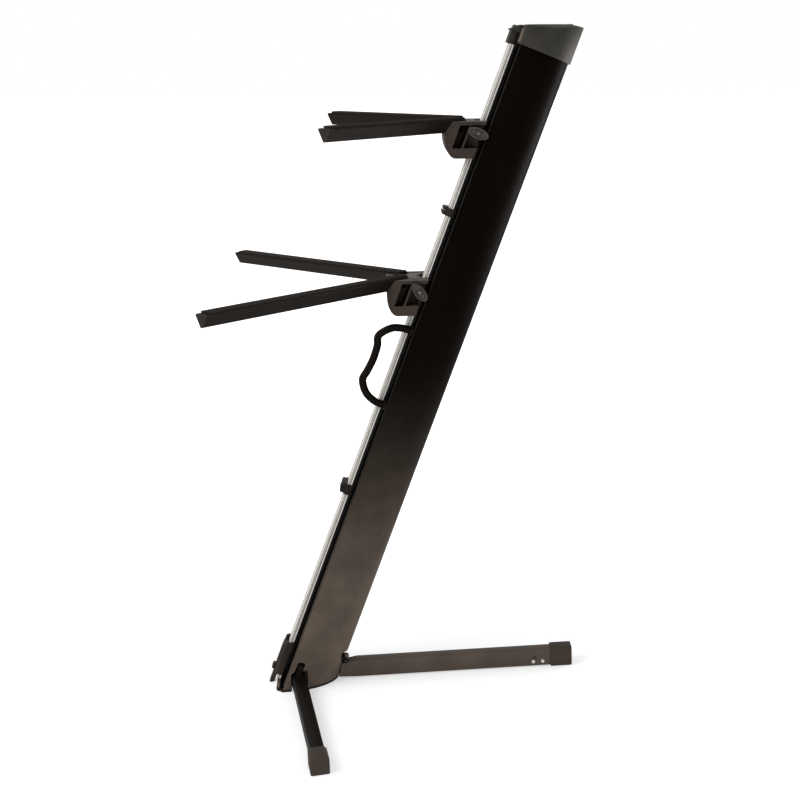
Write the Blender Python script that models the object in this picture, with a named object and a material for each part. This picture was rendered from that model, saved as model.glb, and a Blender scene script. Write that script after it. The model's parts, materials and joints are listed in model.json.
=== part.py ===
"""Column keyboard stand with two tiers of arms and three folding legs.

World frame: the origin is the middle of the boot's footprint on the floor,
+Z is up and the player stands at -Y. Lengths are in metres.

Most of the stand is laid out in the column's own frame: x sideways, depth
rearward from the column's front wall and along measured up the column.
"""

import bpy
import bmesh
from math import sin, cos, tan, pi, radians
from mathutils import Matrix, Vector

# Column
LEAN = radians(21.46)
STAND_HEIGHT = 1.1975
FRONT_LINE_Y = -0.045
COLUMN_HALF_WIDTH = 0.0555
COLUMN_DEPTH = 0.0950
COLUMN_WALL = 0.0030
COLUMN_WEB_DEPTH = 0.0460
COLUMN_CORNER = 0.0022
COLUMN_FOOT = 0.0950
CAP_CROWN = 0.0070
CAP_FRONT_HEIGHT = 0.0286
COLUMN_TOP = (STAND_HEIGHT - CAP_CROWN) / cos(LEAN) - CAP_FRONT_HEIGHT
SECTION_STEPS = 14
SECTION_BULGE = 2 / 2.6
SECTION_TAPER = 1.24

# Seats
SEAT = 0.0003
SLIDE_FIT = 0.0004

# Rail on the column's front wall
RAIL_HALF_WIDTH = 0.0200
RAIL_NECK_HALF_WIDTH = 0.0080
RAIL_FLANGE_BACK = -0.0078
RAIL_FRONT = -0.0180
RAIL_GROOVE = 0.0012
RAIL_SLOT_HALF_WIDTH = 0.0035
RAIL_SLOT_DEPTH = 0.0040
RAIL_FOOT = 0.0090
RAIL_TOP = COLUMN_TOP - 0.0043

# Cap
CAP_OVERHANG = 0.0038
CAP_TAB_HALF_WIDTH = 0.0205
CAP_TAB_FRONT = -0.0245
CAP_TAB_BACK = -0.0120
CAP_TAB_TOP = COLUMN_TOP + 0.0230
CAP_TAB_CHAMFER = 0.0035
CAP_BRIDGE = 0.0055
CAP_WEB_HALF_WIDTH = 0.0090
CAP_BEAD_RADIUS = 0.0034
CAP_BUTTON_RADIUS = 0.0065
CAP_BUTTON_Y = 0.0300
CROWN_RINGS = (0.94, 0.80, 0.56, 0.30, 0.10)
SPIGOT_LENGTH = 0.0300
SPIGOT_FIT = 0.0006

# Boot and sole
SOLE_THICKNESS = 0.0040
SOLE_LIP = 0.0012
TOE_HALF_WIDTH = 0.0500
TOE_DEPTH = -0.0110
TOE_CORNER = 0.0100
BOOT_REAR_Y = 0.1100
POCKET_INNER_X = 0.0335
POCKET_WALL_DEPTH = 0.0060
POCKET_FRONT_Y = 0.0189
POCKET_REAR_Y = 0.0497
POCKET_FRONT_SHOULDER = 0.0350
POCKET_REAR_SHOULDER = 0.0405
SLOT_FRONT_Y = 0.0252
SLOT_REAR_Y = 0.0397
SLOT_TOP_Z = 0.0570

# Legs
LEG_WIDTH = 0.0242
LEG_TOP_Z = 0.0300
LEG_BOTTOM_Z = 0.0030
LEG_WALL = 0.0020
LEG_CORNER = 0.0022
LEG_PLUG_LENGTH = 0.0300
HINGE_BLOCK_LENGTH = 0.0260
PIN_RADIUS = 0.0030
PIN_FIT = 0.0004
SIDE_PIVOT = Vector((0.0460, 0.0360, 0.0440))
SIDE_LEG_SWEEP = radians(8.8)
SIDE_LEG_ROOT_Y = 0.0324
SIDE_LEG_REACH = 0.3300
SIDE_LEG_INBOARD = 0.0060
SIDE_EAR_RADIUS = 0.0080
SIDE_EAR_HALF_WIDTH = 0.0045
SIDE_PIN_FRONT = 0.0150
SIDE_PIN_BACK = 0.0240
REAR_PIVOT_Y = 0.1185
REAR_PIVOT_Z = 0.0360
REAR_LEG_START_Y = 0.1125
REAR_LEG_END_Y = 0.5470
REAR_EAR_RADIUS = 0.0055
REAR_EAR_HALF_WIDTH = 0.0080
REAR_LUG_WIDTH = 0.0042
REAR_LUG_PLATE = 0.0022
FOOT_CAP_LENGTH = 0.0410
FOOT_CAP_WIDTH = 0.0318
FOOT_CAP_HEIGHT = 0.0338
FOOT_CAP_END = 0.0040
FOOT_CAP_CHAMFER = 0.0050
FOOT_SCREW_RADIUS = 0.0036
FOOT_SCREW_HEIGHT = 0.0022
FOOT_SCREW_Z = 0.0110
FOOT_SCREW_OUTER = 0.0150
FOOT_SCREW_INNER = 0.0330

# Tier brackets
LOWER_TOP_Z = 0.7620
UPPER_TOP_Z = 1.0350
BRACKET_HEIGHT = 0.0630
BRACKET_HALF_WIDTH = 0.0520
BRACKET_FRONT_U = -0.0820
BRACKET_BACK_U = -0.0086
BRACKET_CORNER = 0.0140
BRACKET_WALL = 0.0060
BRACKET_PLATE = 0.0060
BRACKET_BAR = 0.0175
NOSE_DROP = 0.0280
NOSE_SWEEP = 0.0180
SOCKET_FLOOR = 0.0300
WINDOW_FRONT_U = -0.0520
WINDOW_BACK_U = -0.0360
RIB_BACK_U = -0.0325
CHEEK_HALF_WIDTH = 0.0300
BRACKET_WEB_HALF_WIDTH = 0.0040
CHAMBER_STEP = 0.0006
PLATE_GROOVE_X = 0.0350
PLATE_GROOVE_WIDTH = 0.0050
PLATE_GROOVE_U = -0.0470
PLATE_GROOVE_DEPTH = 0.0012
TOP_NOTCH_RADIUS = 0.0260
JAW_INNER_X = 0.0092
JAW_THICKNESS = 0.0042
JAW_LENGTH = 0.0360

# Arms
ARM_SPLAY = radians(44.6)
ARM_WIDTH = 0.0268
ARM_HEIGHT = 0.0243
ARM_WALL = 0.0020
ARM_EDGE = 0.0020
ARM_PROUD = 0.0030
ARM_ORIGIN_X = 0.0085
ARM_ORIGIN_U = -0.0400
ARM_ROOT = 0.0152
LOWER_ARM_REACH = 0.4585
UPPER_ARM_REACH = 0.3365
STRIP_WIDTH = 0.0200
STRIP_THICKNESS = 0.0030
STRIP_TIP_INSET = 0.0090
STRIP_ROOT_INSET = 0.0010
PLUG_LENGTH = 0.0100
PLUG_FLANGE = 0.0030

# Clamp knobs
KNOB_DEPTH = -0.0157
KNOB_DROP = 0.0197
KNOB_LONG = 0.0370
KNOB_SHORT = 0.0190
KNOB_INNER_X = 0.0575
KNOB_THICKNESS = 0.0085
KNOB_HUB_RADIUS = 0.0070
STUD_RADIUS = 0.0031
STUD_FIT = 0.0003
STUD_TIP_GAP = 0.0008
SCREW_HEAD_HEIGHT = 0.0010
LOWER_KNOB_TURN = radians(-32.0)

# Carry handle
HANDLE_X = 0.0330
HANDLE_RADIUS = 0.0063
HANDLE_TOP = 0.7150
HANDLE_BOTTOM = 0.5700
HANDLE_REACH = 0.0550
HANDLE_WAIST = 0.0050
HANDLE_FOOT_RADIUS = 0.0088
HANDLE_FOOT_THICKNESS = 0.0030

# Cable clips
CLIP_WALL = 0.0024
CLIP_FRONT = -0.0305
CLIP_LOBE_HALF_WIDTH = 0.0170
CLIP_SLOT = 0.0022
CLIP_CABLE_RADIUS = 0.0024
CLIP_CABLE_DEPTH = -0.0255
CLIP_HOOK = 0.0030
UPPER_CLIP = 0.9295
UPPER_CLIP_HEIGHT = 0.0145
LOWER_CLIP = 0.3888
LOWER_CLIP_HEIGHT = 0.0195

# Latch at the foot of the rail
LATCH_TOP = 0.0810
LATCH_HOUSING_FOOT = 0.0160
LATCH_HALF_WIDTH = 0.0115
LATCH_FRONT = -0.0288
LATCH_HEAD = 0.0045
LATCH_SIDE_GROOVE = 0.0030
LEVER_HALF_WIDTH = 0.0080
LEVER_THICKNESS = 0.0075
LEVER_FLOOR_GAP = 0.0015
LEVER_PIVOT = 0.0735
LEVER_RIB = 0.0010
LEVER_RELIEF = 0.0030
TAB_LOW = 0.0185
TAB_HIGH = 0.0280
TAB_REACH = 0.0065
LATCH_PIN_RADIUS = 0.0012

ROUND_STEPS = 24


def frame_from(origin, x_axis, y_axis, z_axis):
    """Build a placement whose axes are the given directions."""
    turn = Matrix((x_axis, y_axis, z_axis)).transposed().to_4x4()
    return Matrix.Translation(origin) @ turn


RIGHT = Vector((1, 0, 0))
REARWARD = Vector((0, 1, 0))
UP = Vector((0, 0, 1))
UP_COLUMN = Vector((0, sin(LEAN), cos(LEAN)))
INTO_COLUMN = Vector((0, cos(LEAN), -sin(LEAN)))
FLOOR = Matrix.Translation((0, FRONT_LINE_Y, 0))
COLUMN = frame_from(Vector((0, FRONT_LINE_Y, 0)), RIGHT, INTO_COLUMN, UP_COLUMN)
MIRROR_X = Matrix.Diagonal((-1, 1, 1, 1))


def collect_scene():
    for thing in list(bpy.data.objects):
        bpy.data.objects.remove(thing, do_unlink=True)


def make_material(name, colour, roughness, metallic):
    material = bpy.data.materials.new(name)
    material.use_nodes = True
    shader = material.node_tree.nodes["Principled BSDF"]
    shader.inputs["Base Color"].default_value = (*colour, 1)
    shader.inputs["Roughness"].default_value = roughness
    shader.inputs["Metallic"].default_value = metallic
    material.diffuse_color = (*colour, 1)
    return material


def circle(radius, steps=ROUND_STEPS, centre=(0, 0)):
    points = []
    for i in range(steps):
        turn = 2 * pi * i / steps
        points.append((centre[0] + radius * cos(turn), centre[1] + radius * sin(turn)))
    return points


def oval(length, width, steps=32):
    """Oval with flattened sides, like a pressed clamp knob."""
    points = []
    for i in range(steps):
        turn = 2 * pi * i / steps
        points.append((length / 2 * cos(turn), width / 2 * sin(turn)))
    return points


def box_outline(x_low, x_high, y_low, y_high):
    return [(x_low, y_low), (x_high, y_low), (x_high, y_high), (x_low, y_high)]


def round_corners(corners, radii, steps=4):
    """Replace each corner of a convex or concave outline by a tangent arc."""
    points = []
    count = len(corners)
    for i in range(count):
        here = Vector(corners[i])
        back = (Vector(corners[i - 1]) - here).normalized()
        ahead = (Vector(corners[(i + 1) % count]) - here).normalized()
        radius = radii[i] if isinstance(radii, (list, tuple)) else radii
        half = back.angle(ahead) / 2
        if radius <= 0 or half > pi / 2 - 0.02:
            points.append(tuple(here))
            continue
        reach = radius / tan(half)
        middle = here + (back + ahead).normalized() * (radius / sin(half))
        first = here + back * reach - middle
        last = here + ahead * reach - middle
        span = first.angle_signed(last)
        for k in range(steps + 1):
            arm = first.copy()
            arm.rotate(Matrix.Rotation(-span * k / steps, 2))
            points.append(tuple(middle + arm))
    return points


def column_section(grow=0.0):
    """Outline of the column: flat front, sides that close to a round nose at the rear."""
    half = COLUMN_HALF_WIDTH + grow
    deep = COLUMN_DEPTH + 2 * grow
    side = []
    for i in range(SECTION_STEPS + 1):
        turn = pi / 2 * i / SECTION_STEPS
        side.append((half * cos(turn) ** SECTION_TAPER, -grow + deep * sin(turn) ** SECTION_BULGE))
    side[-1] = (0.0, deep - grow)
    corner = max(COLUMN_CORNER + grow, 0.0005)
    front = [(half - corner, -grow), (half - 0.3 * corner, -grow + 0.3 * corner)]
    side[0] = (half, -grow + corner)
    right = front + [p for p in side if p[1] >= -grow + corner]
    left = [(-x, y) for x, y in reversed(right) if x > 0]
    return right + left


def cavity_section(grow, depth_low, depth_high):
    """Part of the column's inside between two depths, grown by a clearance."""
    inside = column_section(-COLUMN_WALL + grow)
    low = depth_low - grow
    high = depth_high + grow
    kept = []
    count = len(inside)
    for i in range(count):
        here = inside[i]
        there = inside[(i + 1) % count]
        if low <= here[1] <= high:
            kept.append(here)
        for level in (low, high):
            if (here[1] - level) * (there[1] - level) < 0:
                share = (level - here[1]) / (there[1] - here[1])
                kept.append((here[0] + share * (there[0] - here[0]), level))
    return kept


def extrude(outline, start, end, frame=Matrix(), holes=()):
    """Extrude a closed outline, with holes if any, along the frame's Z."""
    bm = bmesh.new()
    edges = []
    for loop in (outline, *holes):
        ring = [bm.verts.new((x, y, start)) for x, y in loop]
        if not holes:
            bm.faces.new(ring)
        for i in range(len(ring)):
            if holes:
                edges.append(bm.edges.new((ring[i - 1], ring[i])))
    if holes:
        bmesh.ops.triangle_fill(bm, use_beauty=True, use_dissolve=False, edges=edges)
    grown = bmesh.ops.extrude_face_region(bm, geom=bm.faces[:])
    moved = [item for item in grown["geom"] if isinstance(item, bmesh.types.BMVert)]
    bmesh.ops.translate(bm, verts=moved, vec=(0, 0, end - start))
    bmesh.ops.transform(bm, matrix=frame, verts=bm.verts[:])
    bmesh.ops.recalc_face_normals(bm, faces=bm.faces[:])
    return bm


def merge(*parts):
    """Put several meshes that don't touch into one, as separate solids."""
    whole = bmesh.new()
    for part in parts:
        mesh = bpy.data.meshes.new("scratch")
        part.to_mesh(mesh)
        part.free()
        whole.from_mesh(mesh)
        bpy.data.meshes.remove(mesh)
    return whole


def mirrored(bm):
    bmesh.ops.transform(bm, matrix=MIRROR_X, verts=bm.verts[:])
    bmesh.ops.recalc_face_normals(bm, faces=bm.faces[:])
    return bm


def slice_above(bm, point, normal):
    """Cut away what lies beyond a plane and close the cut."""
    geometry = bm.verts[:] + bm.edges[:] + bm.faces[:]
    cut = bmesh.ops.bisect_plane(bm, geom=geometry, plane_co=point, plane_no=normal, clear_outer=True)
    rim = [item for item in cut["geom_cut"] if isinstance(item, bmesh.types.BMEdge)]
    bmesh.ops.edgeloop_fill(bm, edges=rim)
    bmesh.ops.recalc_face_normals(bm, faces=bm.faces[:])
    return bm


def make_object(name, bm, material, axis=None, smooth=None):
    """Turn a mesh in world coordinates into an object, on its joint's empty if it moves."""
    if axis is not None:
        bmesh.ops.transform(bm, matrix=axis.matrix_world.inverted(), verts=bm.verts[:])
    mesh = bpy.data.meshes.new(name)
    bm.to_mesh(mesh)
    bm.free()
    thing = bpy.data.objects.new(name, mesh)
    bpy.context.scene.collection.objects.link(thing)
    mesh.materials.append(material)
    if smooth is not None:
        mesh.shade_smooth()
        mesh.set_sharp_from_angle(angle=smooth)
    if axis is not None:
        thing.parent = axis
    return thing


def make_axis(name, position, parent=None):
    """Empty that stands on a joint's axis and carries the pieces that move with it."""
    empty = bpy.data.objects.new(name, None)
    empty.empty_display_size = 0.03
    bpy.context.scene.collection.objects.link(empty)
    if parent is not None:
        empty.parent = parent
        position = parent.matrix_world.inverted() @ position
    empty.location = position
    bpy.context.view_layer.update()
    return empty


def combine(thing, bm, operation):
    """Cut or join with a hidden helper body."""
    mesh = bpy.data.meshes.new(thing.name + "_helper")
    bm.to_mesh(mesh)
    bm.free()
    helper = bpy.data.objects.new(thing.name + "_helper", mesh)
    helper.display_type = "WIRE"
    helper.hide_render = True
    bpy.context.scene.collection.objects.link(helper)
    step = thing.modifiers.new(operation.title(), "BOOLEAN")
    step.operation = operation
    step.solver = "EXACT"
    step.object = helper
    return step


def add_bevel(thing, width, segments=2, angle=radians(35)):
    edge = thing.modifiers.new("Edges", "BEVEL")
    edge.width = width
    edge.segments = segments
    edge.limit_method = "ANGLE"
    edge.angle_limit = angle
    edge.use_clamp_overlap = True
    edge.harden_normals = False


def in_column(x, depth, along):
    return COLUMN @ Vector((x, depth, along))


def depth_of(u):
    """Depth of a point that lies u ahead of the column's front line at its own height."""
    return u * cos(LEAN)


def make_column(looks):
    section = column_section()
    web_low = COLUMN_WEB_DEPTH
    web_high = COLUMN_WEB_DEPTH + COLUMN_WALL
    cavities = (cavity_section(0.0, COLUMN_WALL, web_low),
                cavity_section(0.0, web_high, COLUMN_DEPTH - COLUMN_WALL))
    body = extrude(section, COLUMN_FOOT, COLUMN_TOP, COLUMN, holes=cavities)
    make_object("column_extrusion", body, looks["column"], smooth=radians(30))

    half = RAIL_HALF_WIDTH
    middle = (RAIL_FRONT + RAIL_FLANGE_BACK) / 2
    groove = RAIL_GROOVE
    lip = 2 * RAIL_GROOVE
    right = [
        (RAIL_SLOT_HALF_WIDTH, RAIL_FRONT + RAIL_SLOT_DEPTH),
        (RAIL_SLOT_HALF_WIDTH, RAIL_FRONT),
        (half - 2 * lip - groove, RAIL_FRONT),
        (half - 2 * lip, RAIL_FRONT + groove),
        (half - 2 * lip + groove, RAIL_FRONT),
        (half - groove, RAIL_FRONT),
        (half, RAIL_FRONT + groove),
        (half, middle - groove),
        (half - groove, middle),
        (half, middle + groove),
        (half, RAIL_FLANGE_BACK),
        (RAIL_NECK_HALF_WIDTH, RAIL_FLANGE_BACK),
        (RAIL_NECK_HALF_WIDTH, -SEAT),
    ]
    left = [(-x, y) for x, y in reversed(right)]
    make_object("front_rail", extrude(right + left, RAIL_FOOT, RAIL_TOP, COLUMN), looks["rail"])


def spigots(start, end):
    """Two blocks that fill the column's cavities with a sliding clearance."""
    front = cavity_section(-SPIGOT_FIT, COLUMN_WALL, COLUMN_WEB_DEPTH)
    back = cavity_section(-SPIGOT_FIT, COLUMN_WEB_DEPTH + COLUMN_WALL, COLUMN_DEPTH - COLUMN_WALL)
    return merge(extrude(front, start, end, COLUMN), extrude(back, start, end, COLUMN))


def crown_top(bm, level, height):
    """Raise the flat top of a body into a shallow dome."""
    top = [face for face in bm.faces if min(vert.co.z for vert in face.verts) > level - 1e-6][0]
    rim = [vert.co.copy() for vert in top.verts]
    middle = sum(rim, Vector()) / len(rim)
    outer = list(top.verts)
    bm.faces.remove(top)
    full = 1 - CROWN_RINGS[-1] ** 3
    for share in CROWN_RINGS:
        lift = Vector((0, 0, height * (1 - share ** 3) / full))
        inner = [bm.verts.new(middle + (place - middle) * share + lift) for place in rim]
        for i in range(len(rim)):
            bm.faces.new((outer[i - 1], outer[i], inner[i], inner[i - 1]))
        outer = inner
    bm.faces.new(outer)
    bmesh.ops.recalc_face_normals(bm, faces=bm.faces[:])
    return bm


def make_cap(looks):
    """Domed cap with a hook that covers the rail's top end."""
    rim = STAND_HEIGHT - CAP_CROWN
    skirt = COLUMN_TOP + SEAT
    body = extrude(column_section(CAP_OVERHANG), skirt, skirt + 0.12, COLUMN)
    body = slice_above(body, Vector((0, 0, rim)), UP)
    cap = make_object("top_cap", crown_top(body, rim, CAP_CROWN), looks["cap"], smooth=radians(35))
    half = CAP_TAB_HALF_WIDTH
    low = RAIL_TOP + SEAT
    under = CAP_TAB_TOP - CAP_BRIDGE
    hook = [(CAP_TAB_FRONT, low), (CAP_TAB_BACK, low), (CAP_TAB_BACK, under), (-0.0010, under),
            (-0.0010, CAP_TAB_TOP), (CAP_TAB_FRONT + CAP_TAB_CHAMFER, CAP_TAB_TOP),
            (CAP_TAB_FRONT, CAP_TAB_TOP - CAP_TAB_CHAMFER)]
    sideways = frame_from(Vector((0, FRONT_LINE_Y, 0)), INTO_COLUMN, UP_COLUMN, RIGHT)
    combine(cap, extrude(hook, -half, half, sideways), "UNION")
    web = extrude(box_outline(-CAP_WEB_HALF_WIDTH, CAP_WEB_HALF_WIDTH, CAP_TAB_BACK - 0.001, -0.0015),
                  low + 0.001, under + 0.001, COLUMN)
    combine(cap, web, "UNION")
    bead_x = COLUMN_HALF_WIDTH - CAP_BEAD_RADIUS / 2
    bead_top = CAP_TAB_TOP + 0.0015
    bead_low = skirt + 0.0005
    beads = merge(extrude(circle(CAP_BEAD_RADIUS, 12, (bead_x, -CAP_BEAD_RADIUS)), bead_low, bead_top, COLUMN),
                  extrude(circle(CAP_BEAD_RADIUS, 12, (-bead_x, -CAP_BEAD_RADIUS)), bead_low, bead_top, COLUMN))
    combine(cap, beads, "UNION")
    combine(cap, spigots(COLUMN_TOP - SPIGOT_LENGTH, skirt + 0.004), "UNION")
    centre = (0, tan(LEAN) * STAND_HEIGHT + FRONT_LINE_Y + COLUMN_DEPTH / 2 + CAP_BUTTON_Y)
    button = extrude(circle(CAP_BUTTON_RADIUS, 16, centre), rim - 0.002, STAND_HEIGHT)
    combine(cap, button, "UNION")
    add_bevel(cap, 0.0011, 2)


def pocket_outline():
    """Side view, in Y and Z, of the hollow that a side leg folds out of.

    It is as wide as the leg at the floor and narrows to a slot for the hinge ear.
    """
    climb = tan(LEAN)
    slot_front_top = SLOT_FRONT_Y + (SLOT_TOP_Z - POCKET_FRONT_SHOULDER) * climb
    slot_rear_top = SLOT_REAR_Y + (SLOT_TOP_Z - POCKET_FRONT_SHOULDER) * climb
    slot_rear_low = SLOT_REAR_Y + (POCKET_REAR_SHOULDER - POCKET_FRONT_SHOULDER) * climb
    front_bend = (POCKET_FRONT_Y * cos(LEAN) - POCKET_WALL_DEPTH) / sin(LEAN)
    corners = [(POCKET_FRONT_Y, -0.02), (POCKET_FRONT_Y, front_bend),
               (SLOT_FRONT_Y - 0.0035, POCKET_FRONT_SHOULDER + 0.0015),
               (SLOT_FRONT_Y, POCKET_FRONT_SHOULDER + 0.0020),
               (slot_front_top, SLOT_TOP_Z), (slot_rear_top, SLOT_TOP_Z - 0.002),
               (slot_rear_low, POCKET_REAR_SHOULDER), (POCKET_REAR_Y, POCKET_REAR_SHOULDER),
               (POCKET_REAR_Y, -0.02)]
    return round_corners(corners, [0, 0.002, 0.0015, 0.001, 0.0055, 0.0055, 0.0012, 0.0035, 0], steps=4)


def pocket_cutters():
    """The leg hollows on both sides, open outward and to the floor."""
    sideways = frame_from(Vector((0, FRONT_LINE_Y, 0)), REARWARD, UP, RIGHT)
    right = extrude(pocket_outline(), POCKET_INNER_X, 0.09, sideways)
    left = extrude(pocket_outline(), -0.09, -POCKET_INNER_X, sideways)
    return merge(right, left)


def side_leg_axes():
    """Directions of the right leg, its hinge axis and the third direction, up the column."""
    along_leg = Vector((cos(SIDE_LEG_SWEEP), sin(SIDE_LEG_SWEEP), 0))
    axis = along_leg.cross(UP_COLUMN).normalized()
    third = axis.cross(along_leg).normalized()
    return along_leg, axis, third


def side_pivot():
    return SIDE_PIVOT + Vector((0, FRONT_LINE_Y, 0))


def side_pin(radius, extra=0.0):
    along_leg, axis, third = side_leg_axes()
    frame = frame_from(side_pivot(), along_leg, third, axis)
    return extrude(circle(radius, 16), -SIDE_PIN_BACK - extra, SIDE_PIN_FRONT + extra, frame)


def toe_outline(grow=0.0):
    """Plan of the toe that closes the rail's lower end."""
    half = TOE_HALF_WIDTH + grow
    return round_corners(box_outline(-half, half, TOE_DEPTH - grow, 0.004), [TOE_CORNER, TOE_CORNER, 0, 0])


def make_boot(looks):
    body = extrude(column_section(), -0.08, COLUMN_FOOT - SEAT, COLUMN)
    body = slice_above(body, Vector((0, 0, SOLE_THICKNESS + SEAT)), -UP)
    body = slice_above(body, Vector((0, FRONT_LINE_Y + BOOT_REAR_Y, 0)), REARWARD)
    boot = make_object("base_boot", body, looks["boot"], smooth=radians(30))
    toe = extrude(toe_outline(), -0.03, RAIL_FOOT - SEAT, COLUMN)
    combine(boot, slice_above(toe, Vector((0, 0, SOLE_THICKNESS + SEAT)), -UP), "UNION")
    combine(boot, spigots(COLUMN_FOOT - 0.004, COLUMN_FOOT + SPIGOT_LENGTH), "UNION")
    combine(boot, pocket_cutters(), "DIFFERENCE")
    bores = merge(side_pin(PIN_RADIUS + PIN_FIT, SEAT), mirrored(side_pin(PIN_RADIUS + PIN_FIT, SEAT)))
    combine(boot, bores, "DIFFERENCE")

    footprint = [(x, depth / cos(LEAN)) for x, depth in column_section(SOLE_LIP)]
    sole = extrude(footprint, 0.0, SOLE_THICKNESS, FLOOR)
    rubber = make_object("boot_sole", sole, looks["rubber"], smooth=radians(30))
    toe = extrude(toe_outline(SOLE_LIP), 0.0, SOLE_THICKNESS, FLOOR)
    combine(rubber, toe, "UNION")
    combine(rubber, pocket_cutters(), "DIFFERENCE")


def leg_section(grow=0.0):
    half = LEG_WIDTH / 2 + grow
    corners = box_outline(-half, half, LEG_BOTTOM_Z - grow, LEG_TOP_Z + grow)
    return round_corners(corners, max(LEG_CORNER + grow, 0.0004), steps=2)


def foot_cap_body(frame, end):
    """Moulded foot over a tube's end, with a chamfered top and a socket for the tube."""
    half = FOOT_CAP_WIDTH / 2
    corners = [(-half, 0), (half, 0), (half, FOOT_CAP_HEIGHT - FOOT_CAP_CHAMFER),
               (half - FOOT_CAP_CHAMFER, FOOT_CAP_HEIGHT), (FOOT_CAP_CHAMFER - half, FOOT_CAP_HEIGHT),
               (-half, FOOT_CAP_HEIGHT - FOOT_CAP_CHAMFER)]
    outer = round_corners(corners, 0.0022, steps=2)
    return extrude(outer, end - FOOT_CAP_LENGTH, end, frame)


def make_leg(name, frame, start, end, block, looks, axis, flip=False):
    """Tube, root block and foot cap of one leg, along the frame's Z."""
    turn = mirrored if flip else (lambda bm: bm)
    tube_start = start + HINGE_BLOCK_LENGTH + SEAT
    tube_end = end - FOOT_CAP_END - SEAT
    tube = extrude(leg_section(), tube_start, tube_end, frame, holes=(leg_section(-LEG_WALL),))
    make_object(name + "_tube", turn(tube), looks["leg"], axis)
    plug = extrude(leg_section(-LEG_WALL - SEAT), start + HINGE_BLOCK_LENGTH / 2,
                   start + HINGE_BLOCK_LENGTH + LEG_PLUG_LENGTH, frame)
    combine(block, turn(plug), "UNION")
    cap = make_object(name.replace("leg", "foot") + "_cap", turn(foot_cap_body(frame, end)),
                      looks["cap_rubber"], axis)
    add_bevel(cap, 0.0016, 2, radians(30))
    socket = extrude(leg_section(SEAT), end - FOOT_CAP_LENGTH - 0.01, end - FOOT_CAP_END, frame)
    combine(cap, turn(socket), "DIFFERENCE")


def make_side_leg(side, looks):
    along_leg, axis, third = side_leg_axes()
    flip = side == "left"
    turn = mirrored if flip else (lambda bm: bm)
    pivot = side_pivot()
    place = MIRROR_X @ pivot if flip else pivot
    empty = make_axis(side + "_leg_axis", place)
    across = UP.cross(along_leg)
    root = Vector((pivot.x, FRONT_LINE_Y + SIDE_LEG_ROOT_Y, 0))
    frame = frame_from(root, across, UP, along_leg)

    start = -SIDE_LEG_INBOARD
    body = extrude(leg_section(), start, start + HINGE_BLOCK_LENGTH, frame)
    block = make_object(side + "_leg_hinge", turn(body), looks["casting"], empty)
    ear_frame = frame_from(pivot, along_leg, third, axis)
    ear = [(-SIDE_EAR_RADIUS, -0.0205), (SIDE_EAR_RADIUS, -0.0205)]
    for i in range(9):
        turn_angle = pi * i / 8
        ear.append((SIDE_EAR_RADIUS * cos(turn_angle), SIDE_EAR_RADIUS * sin(turn_angle)))
    body = extrude(ear, -SIDE_EAR_HALF_WIDTH, SIDE_EAR_HALF_WIDTH, ear_frame)
    combine(block, turn(body), "UNION")
    combine(block, turn(side_pin(PIN_RADIUS + PIN_FIT, 0.01)), "DIFFERENCE")
    make_leg(side + "_leg", frame, start, SIDE_LEG_REACH, block, looks, empty, flip)
    make_object(side + "_leg_pin", turn(side_pin(PIN_RADIUS)), looks["steel_dark"], smooth=radians(40))


def make_rear_leg(looks):
    pivot = Vector((0, FRONT_LINE_Y + REAR_PIVOT_Y, REAR_PIVOT_Z))
    empty = make_axis("rear_leg_axis", pivot)
    frame = frame_from(Vector((0, FRONT_LINE_Y, 0)), -RIGHT, UP, REARWARD)
    body = extrude(leg_section(), REAR_LEG_START_Y, REAR_LEG_START_Y + HINGE_BLOCK_LENGTH, frame)
    block = make_object("rear_leg_hinge", body, looks["casting"], empty)
    sideways = frame_from(pivot, REARWARD, UP, RIGHT)
    radius = REAR_EAR_RADIUS
    drop = LEG_TOP_Z - REAR_PIVOT_Z - 0.004
    ear = [(-radius, drop), (radius, drop)]
    ear += [(radius * cos(pi * i / 8), radius * sin(pi * i / 8)) for i in range(9)]
    combine(block, extrude(ear, -REAR_EAR_HALF_WIDTH, REAR_EAR_HALF_WIDTH, sideways), "UNION")
    bore = extrude(circle(PIN_RADIUS + PIN_FIT, 16), -0.03, 0.03, sideways)
    combine(block, bore, "DIFFERENCE")
    make_leg("rear_leg", frame, REAR_LEG_START_Y, REAR_LEG_END_Y, block, looks, empty)

    inner = REAR_EAR_HALF_WIDTH + SLIDE_FIT
    outer = inner + REAR_LUG_WIDTH
    wall = BOOT_REAR_Y - REAR_PIVOT_Y + SEAT
    lug = [(wall, -radius), (0.0, -radius)]
    lug += [(radius * sin(pi * i / 8), -radius * cos(pi * i / 8)) for i in range(1, 8)]
    lug += [(0.0, radius), (wall, radius)]
    body = extrude(lug, -outer, outer, sideways)
    bracket = make_object("rear_hinge_bracket", body, looks["casting"])
    gap = extrude(box_outline(wall + REAR_LUG_PLATE, radius + 0.01, -0.03, 0.03), -inner, inner, sideways)
    combine(bracket, gap, "DIFFERENCE")
    bore = extrude(circle(PIN_RADIUS + PIN_FIT, 16), -0.03, 0.03, sideways)
    combine(bracket, bore, "DIFFERENCE")
    pin = extrude(circle(PIN_RADIUS, 16), -outer - 0.001, outer + 0.001, sideways)
    make_object("rear_leg_pin", pin, looks["steel_dark"], smooth=radians(40))

    face = frame_from(Vector((LEG_WIDTH / 2 + SEAT, FRONT_LINE_Y, 0)), REARWARD, UP, RIGHT)
    cap_start = REAR_LEG_END_Y - FOOT_CAP_LENGTH
    for name, inset in (("rear_leg_screw_outer", FOOT_SCREW_OUTER), ("rear_leg_screw_inner", FOOT_SCREW_INNER)):
        outline = circle(FOOT_SCREW_RADIUS, 16, (cap_start - inset, FOOT_SCREW_Z))
        head = extrude(outline, 0.0, FOOT_SCREW_HEIGHT, face)
        make_object(name, head, looks["steel"], empty, radians(40))


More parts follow.
